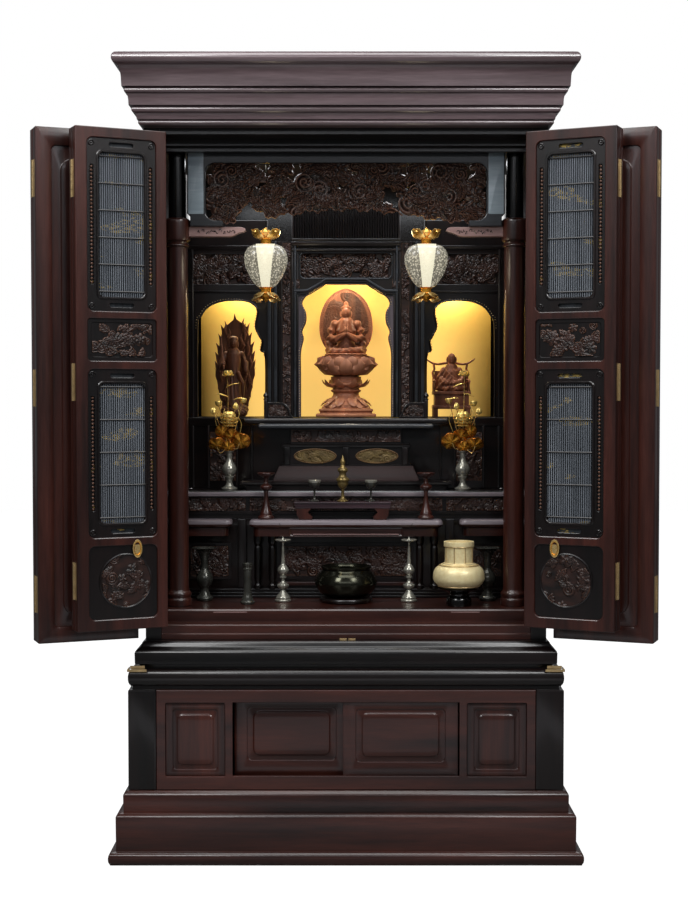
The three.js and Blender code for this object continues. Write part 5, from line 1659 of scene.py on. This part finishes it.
def lanterns():
    for side, sign in sides:
        x, y = sign * lantern["x"], lantern["y"]
        piece = Piece("lantern." + side)
        lobesTurn = math.pi / 2
        lathe(piece, lantern["profile"], x, y, 0, "beaded", 60, 4, 6, 0.13, lobesTurn)
        front = []
        for r, h in smoothProfile(lantern["profile"], 4):
            wide = 8.5 + (h - 1140) / 88 * 11
            front.append([(x - wide, y - r * 0.93 + 1, h), (x - wide * 0.5, y - r * 1.01, h),
                          (x, y - r * 1.03, h), (x + wide * 0.5, y - r * 1.01, h),
                          (x + wide, y - r * 0.93 + 1, h), (x, y - r * 0.8, h)])
        skin(piece, front, "frosted")
        lathe(piece, [(0, 1226), (14, 1226, 0), (14.5, 1229), (11, 1231, 0), (11, 1239, 0), (14, 1241),
                      (9, 1244), (5, 1250), (3, 1256), (3, 1262), (0, 1264)], x, y, 0, "gilt", 32, 3)
        lathe(piece, [(0, 1142), (13, 1142, 0), (14, 1140), (11, 1137, 0), (10.6, 1129, 0), (14, 1127),
                      (12, 1120), (6, 1114), (2.6, 1111), (0, 1110)], x, y, 0, "gilt", 32, 3)
        for k in range(4):
            a = math.pi / 4 + k * math.pi / 2
            petal(piece, (x, y, 0), a,
                  [(5, 1239), (13, 1240), (22, 1245), (28, 1253), (31, 1258), (33, 1256), (33, 1252)],
                  [5, 11, 15, 14, 11, 7, 2], "gilt", 0.14, 12)
            petal(piece, (x, y, 0), a + math.pi / 4,
                  [(4, 1241), (12, 1243), (20, 1248), (24, 1255), (26, 1260)], [4, 9, 12, 9, 2], "gilt",
                  0.16, 10)
            petal(piece, (x, y, 0), a,
                  [(6, 1128), (15, 1128), (23, 1122), (26, 1114), (22, 1110), (17, 1113)],
                  [5, 11, 13, 12, 8, 3], "gilt", 0.16, 12)
        tube(piece, [(x, y, 1262), (x, y, 1424)], 0.6, "darkMetal", 6)
        piece.place("cabinet", "lantern_glass", "lantern_" + side)


lanterns()
print("lanterns ready")

# lotus sprays and their vases

spray = {"x": 252, "y": -4, "z": 712.3}


def openFlower(piece, x, y, z, radius, height, finish, seed=0):
    for ring, (reach, rise, count) in enumerate(((1, 0.35, 8), (0.82, 0.75, 8), (0.55, 1, 6))):
        r, h = radius * reach, height * rise
        petalRing(piece, (x, y, z - height * 0.35), count,
                  [(r * 0.1, 0), (r * 0.55, h * 0.1), (r * 0.9, h * 0.5), (r, h)],
                  [radius * 0.1, radius * 0.3, radius * 0.3, radius * 0.06], finish, seed + ring * 0.4, 0.25)
    lathe(piece, [(0, 0), (radius * 0.26, 0), (radius * 0.34, height * 0.4), (0, height * 0.5)], x, y,
          z - height * 0.2, finish, 16, 3)


def ballFlower(piece, x, y, z, r, finish):
    for ring, lat in enumerate((-50, -22, 4, 30, 56, 80)):
        slope = math.radians(lat)
        path = [(r * k * math.cos(slope + turn), r * k * math.sin(slope + turn))
                for k, turn in ((0.3, 0), (0.8, 0), (1, 0.2))]
        petalRing(piece, (x, y, z), max(4, round(11 * math.cos(slope))), path, [r * 0.1, r * 0.3, r * 0.07],
                  finish, ring * 0.3, 0.4)


def lotusLeaf(piece, x, y, z, radius, tilt, turn, finish):
    rings = []
    c, s = math.cos(tilt), math.sin(tilt)
    for r, lift in ((0.04, 0.0), (0.45, 0.1), (0.8, 0.24), (1, 0.2), (0.98, 0.13), (0.5, -0.02),
                    (0.04, -0.08)):
        ring = []
        for k in range(28):
            a = 2 * math.pi * k / 28
            wave = 0.09 * math.sin(6 * a + turn) * r
            u, v, w = radius * r * math.cos(a), radius * r * math.sin(a), radius * (lift + wave)
            ring.append((x + u, y + v * c - w * s, z + v * s + w * c))
        rings.append(ring)
    skin(piece, rings, finish)


def sprays():
    for side, sign in sides:
        x, y, z = sign * spray["x"], spray["y"], spray["z"]
        vase = Piece("lotusVase." + side)
        lathe(vase, [(0, 0), (16.6, 0, 0), (17, 2), (18, 4), (15, 6, 0), (10, 9), (7, 15), (7, 22),
                     (10, 27, 0), (11, 29), (8, 31, 0), (13, 36), (16, 44), (14, 52), (9, 60), (6, 68),
                     (6, 78), (9, 82), (11.2, 85, 0), (9, 84.6, 0), (4, 80), (3, 66, 0), (0, 66, 0)], x, y,
              z, "nickel", 32, 4)
        vase.place("cabinet", "dark_metal", "lotus_vase_" + side)
        piece = Piece("lotusBouquet." + side)
        stems = [((0, -8, 148), 40), ((-24, -8, 104), 30), ((26, -8, 95), 30), ((-30, 4, 190), 60),
                 ((23, 2, 184), 52), ((4, 2, 250), 70), ((-14, -6, 178), 50), ((34, 0, 168), 40)]
        for (dx, dy, dz), rise in stems:
            tip = (x + sign * dx, y + dy, z + dz)
            foot = (x, y, z + 78)
            path = [foot, (x + sign * dx * 0.12, y + dy * 0.3, z + 92),
                    (x + sign * dx * 0.7, y + dy, z + dz - rise * 0.5), tip]
            tube(piece, [(a, b, c) for a, b, c in smoothPath(path)], 0.9, "gilt", 7)
        ballFlower(piece, x, y - 8, z + 151, 20, "giltPale")
        openFlower(piece, x + sign * 2, y + 2, z + 250, 13, 12, "giltPale", 0.1)
        for dx, dz, tilt in ((-22, 196, 0.12), (14, 204, -0.3), (-8, 226, 0.3)):
            path = [(x + sign * dx + k * 9 - 14, y - 2, z + dz + tilt * (k * 9 - 14) + 2 * math.sin(k))
                    for k in range(4)]
            tube(piece, path, [0.6, 3.4, 3, 0.6], "giltPale", 8, 0.5)
        for dx, dz in ((-30, 192), (23, 186)):
            lathe(piece, [(0, -6), (5, -4), (8, 3), (7, 6, 0), (0, 6, 0)], x + sign * dx, y + 3, z + dz,
                  "giltPale", 20, 3)
        for dx, dz, r in ((-14, 178, 5), (34, 168, 5.6)):
            petalRing(piece, (x + sign * dx, y - 3, z + dz), 5,
                      [(0.5, -5), (r * 0.8, 0), (r * 0.6, 6), (0.4, 11)], [1, 3, 2.4, 0.3], "giltPale", 0,
                      0.5)
        for dx, dz, r, tilt, turn in ((-26, 104, 21, -0.95, 0), (25, 97, 20, -0.8, 2), (-6, 116, 17, -1.1, 4),
                                      (15, 126, 15, -1.2, 1), (2, 92, 15, -1.0, 5)):
            lotusLeaf(piece, x + sign * dx, y - 8, z + dz, r, tilt, turn, "gilt")
        for k in range(5):
            a = 0.5 + k * 1.26
            curl = [(x + 5 * math.cos(a), y + 3 * math.sin(a), z + 84),
                    (x + 20 * math.cos(a), y + 6 * math.sin(a), z + 106 + 8 * k),
                    (x + 30 * math.cos(a), y + 6 * math.sin(a), z + 140 + 6 * k),
                    (x + 22 * math.cos(a), y, z + 158 + 6 * k)]
            tube(piece, smoothPath(curl), 0.6, "giltPale", 6)
        piece.place("cabinet", "gold_leaf", "lotus_bouquet_" + side, crease=50)


finishes["giltPale"] = metal("giltPale", rgb(255, 224, 132), rgb(232, 170, 66), 0.22, 0.5, 70.0)
sprays()
print("lotus sprays ready")

# implements on the shelf and on the floor of the room


def shelfImplements():
    x, z = -7, 653.3
    piece = Piece("offeringStand")
    softBox(piece, x - 101, x + 101, -75.4, -39.6, 677.4, 689, "darkMauve", 1.6)
    softBox(piece, x - 103, x + 103, -77, -38, 686.4, 691, "darkMauve", 1.4)
    for s in (-1, 1):
        for front in (-74, -46):
            outline = [(x + s * 66, z), (x + s * 64, z + 6), (x + s * 74, z + 15), (x + s * 66, z + 25),
                       (x + s * 98, z + 25), (x + s * 97, z + 10), (x + s * 92, z)]
            if s > 0:
                outline.reverse()
            board(piece, outline, [], front, front + 6, "rosewood", 1)
    piece.place("cabinet", "rosewood", "offering_stand")

    for side, sign in sides:
        cup = Piece("offeringCup." + side)
        cx, cy, cz = x + sign * 60, -57, 691.3
        lathe(cup, [(0, 0), (9.6, 0, 0), (10, 1.6), (6, 3.4), (2.6, 6), (2, 16), (2.4, 22), (4.4, 24, 0),
                    (3, 26, 0), (8, 29), (12, 36), (13, 42), (11.4, 44, 0)], cx, cy, cz, "nickelDark", 32, 3)
        lathe(cup, [(0, 40), (12.8, 40, 0), (13.4, 42), (13.4, 45), (11.6, 46, 0), (0, 46.2, 0)], cx, cy, cz,
              "nickel", 32, 3)
        cup.place("cabinet", "dark_metal", "offering_cup_" + side)

        stand = Piece("foodStand." + side)
        lathe(stand, [(0, 0), (16, 0, 0), (17, 2), (17, 5), (13, 9, 0), (12, 14), (8, 26), (5, 40), (4, 52),
                      (5, 60), (8, 62, 0), (12, 66), (13, 70), (10, 73, 0), (5, 77), (4.6, 84), (8, 89),
                      (15, 93), (19, 97), (19, 99, 0), (16, 98, 0), (8, 92), (0, 91)], sign * 170, -55, z,
              "rosewood", 36, 4)
        stand.place("cabinet", "rosewood", "food_stand_" + side)

    spire = Piece("offeringSpire")
    lathe(spire, [(0, 0), (11.6, 0, 0), (12, 2), (8, 4), (4.4, 8), (3.2, 18), (4, 26), (8, 30), (11, 36),
                  (11, 41), (13, 43, 0), (14, 46), (13, 49, 0), (9, 52), (7, 58), (8, 62, 0), (11, 65),
                  (10, 69), (6, 73), (4, 78), (5.4, 84), (3, 91), (1.2, 97), (0, 99)], x, -57, 691.3,
          "darkBrass", 32, 4)
    spire.place("cabinet", "dark_metal", "offering_spire")


def floorImplements():
    z = room["floor"]
    ring = Piece("bowlStand")
    lathe(ring, [(30, 0.2), (50, 0.2), (55, 3), (55, 8), (50, 11), (32, 11), (29, 7), (30, 0.2)], 0, -107, z,
          "ebony", 48, 4)
    ring.place("cabinet", "ebony", "bowl_stand")
    bowl = Piece("rinBowl")
    lathe(bowl, [(0, 0), (33, 0, 0), (40, 1), (56, 10), (64.6, 26), (65, 34), (60, 46), (53, 54),
                 (50.4, 57, 0), (51, 58), (53, 62), (53, 64, 0), (50, 64, 0), (49, 60), (48, 56), (58, 44),
                 (61, 32), (54, 14), (32, 5), (0, 4)],
          0, -107, z + 11.3, "darkMetal", 72, 5)
    bowl.place("cabinet", "dark_metal", "rin_bowl")

    x, y = 232, -170
    stand = Piece("burnerStand")
    lathe(stand, [(0, 0), (24, 0, 0), (26, 1.4), (26, 12), (24, 17), (20, 22), (21, 26), (28, 31), (38, 34),
                  (40, 36, 0), (0, 36, 0)], x, y, z, "lac", 44, 4)
    stand.place("cabinet", "ebony", "burner_stand")
    burner = Piece("incenseBurner")
    zb = z + 36.3
    lathe(burner, [(0, 0), (30, 0, 0), (33, 1), (44, 6), (52, 16), (53, 27), (50, 38), (43, 45), (36, 48, 0),
                   (36, 50), (30, 52, 0), (29, 56), (28.6, 84, 0), (31, 86), (31, 95), (30, 96, 0),
                   (27.6, 96, 0), (27, 90), (26, 58), (24, 54, 0), (0, 53, 0)], x, y, zb, "champagne", 64, 4)
    for h, r, thick in ((5, 43, 1.3), (47, 40, 1.4), (50.5, 33, 1.2), (86, 30.4, 1)):
        loop = [(x + r * math.cos(a), y + r * math.sin(a), zb + h)
                for a in (2 * math.pi * k / 48 for k in range(49))]
        tube(burner, loop, thick, "brass", 8)
    for k in range(8):
        a = 2 * math.pi * k / 8 + math.pi / 8
        tube(burner, [(x + 29.4 * math.cos(a), y + 29.4 * math.sin(a), zb + h) for h in (53, 70, 85)], 0.9,
             "brass", 6)
    burner.place("cabinet", "brass", "incense_burner")

    for side, sign in sides:
        vase = Piece("flowerVase." + side)
        lathe(vase, [(0, 0), (16, 0, 0), (17, 2), (18, 6), (14, 10, 0), (10, 18), (9, 26), (13, 32),
                     (17, 42), (17, 50), (13, 60), (8, 68), (7.6, 86), (9, 92, 0), (10, 95), (16, 104),
                     (24, 110), (27, 111.4, 0), (25, 112, 0), (14, 105), (7, 94), (5, 60, 0), (0, 60, 0)],
              sign * 298, -90, z, "nickelDark", 40, 4)
        vase.place("cabinet", "dark_metal", "flower_vase_" + side)
        candle = Piece("candleStand." + side)
        lathe(candle, [(0, 0), (16, 0, 0), (17, 1.6), (17, 4), (14.6, 6, 0), (15, 9), (10, 16), (6, 22),
                       (5, 26, 0), (9, 28), (12, 32), (12, 36), (8, 38, 0), (4.6, 42), (4, 48), (7, 50, 0),
                       (7, 53, 0), (5, 55), (9, 59), (12, 66), (9, 73), (5, 78), (4, 84), (2.8, 104),
                       (2.4, 122), (6, 125, 0), (16, 128, 0), (16.4, 130), (15, 131, 0), (3, 130.4, 0),
                       (1.2, 134), (0, 138)], sign * 132, -105, z, "nickel", 40, 4)
        candle.place("cabinet", "dark_metal", "candle_stand_" + side)
    holder = Piece("incenseHolder")
    lathe(holder, [(0, 0), (13.4, 0, 0), (14, 1.4), (15, 5), (12, 8, 0), (10.6, 14), (8.4, 22), (8, 30),
                   (8, 68), (9.4, 71, 0), (9.4, 74, 0), (8, 76), (10.4, 82), (11, 85, 0), (8.6, 84.8, 0),
                   (6, 76), (6, 22, 0), (0, 22, 0)],
          -204, -146, z, "nickelDark", 40, 4)
    holder.place("cabinet", "dark_metal", "incense_holder")


def brassFittings():
    guards = Piece("cornerGuards")
    for _, sign in sides:
        for x0, x1, y0, y1 in ((391, 428.8, -325.6, -324), (427.8, 429.4, -325, -294)):
            softBox(guards, sign * x0, sign * x1, y0, y1, 374, 379, "brass", 0.5)
        softBox(guards, sign * 395, sign * 424, -320.4, -318.8, 379, 385.4, "brass", 0.5)
    guards.place("cabinet", "brass")
    strikes = Piece("strikePlates")
    for x0, x1 in ((-13, 1.5), (4.5, 19)):
        softBox(strikes, x0, x1, -284, -279.2, 429.4, 433.4, "brass", 0.7)
        softBox(strikes, x0 + 3, x1 - 3, -285.6, -283, 430.2, 432.8, "brass", 0.7)
    strikes.place("cabinet", "brass")
    caps = Piece("tierStrips")
    for x0, x1 in ((-268, -200), (212, 270)):
        softBox(caps, x0, x1, -227.9, -227.2, 477.4, 479.2, "mauve", 0.3)
    caps.place("cabinet", "rosewood")


finishes["darkBrass"] = metal("darkBrass", rgb(150, 128, 78), rgb(48, 42, 30), 0.24, 0.75, 60.0)
finishes["nickelDark"] = metal("nickelDark", rgb(92, 92, 86), rgb(26, 28, 28), 0.1, 0.7, 40.0)
shelfImplements()
floorImplements()
brassFittings()
print("implements and fittings ready")

# floor under the cabinet


def paleFloor():
    mesh = bpy.data.meshes.new("floor")
    reach = 9.0
    corners = [(-reach, -reach, 0), (reach, -reach, 0), (reach, reach, 0), (-reach, reach, 0)]
    mesh.from_pydata(corners, [], [(0, 1, 2, 3)])
    floor = bpy.data.objects.new("floor", mesh)
    bpy.context.collection.objects.link(floor)
    material = surface("paleFloor", patinaGroup, {"Clean": (0.2, 0.2, 0.2, 1), "Aged": (0.17, 0.17, 0.17, 1),
                                                  "Gloss": 0.8, "Amount": 0.3, "Scale": 3.0},
                       {"Metallic": 0.0})
    tree = material.node_tree
    shader = tree.nodes["Principled BSDF"]
    shader.inputs["Emission Color"].default_value = (1, 1, 1, 1)
    path = tree.nodes.new("ShaderNodeLightPath")
    tree.links.new(path.outputs["Is Camera Ray"], shader.inputs["Emission Strength"])
    floor.data.materials.append(material)


paleFloor()
bpy.context.scene.view_settings.view_transform = "Standard"
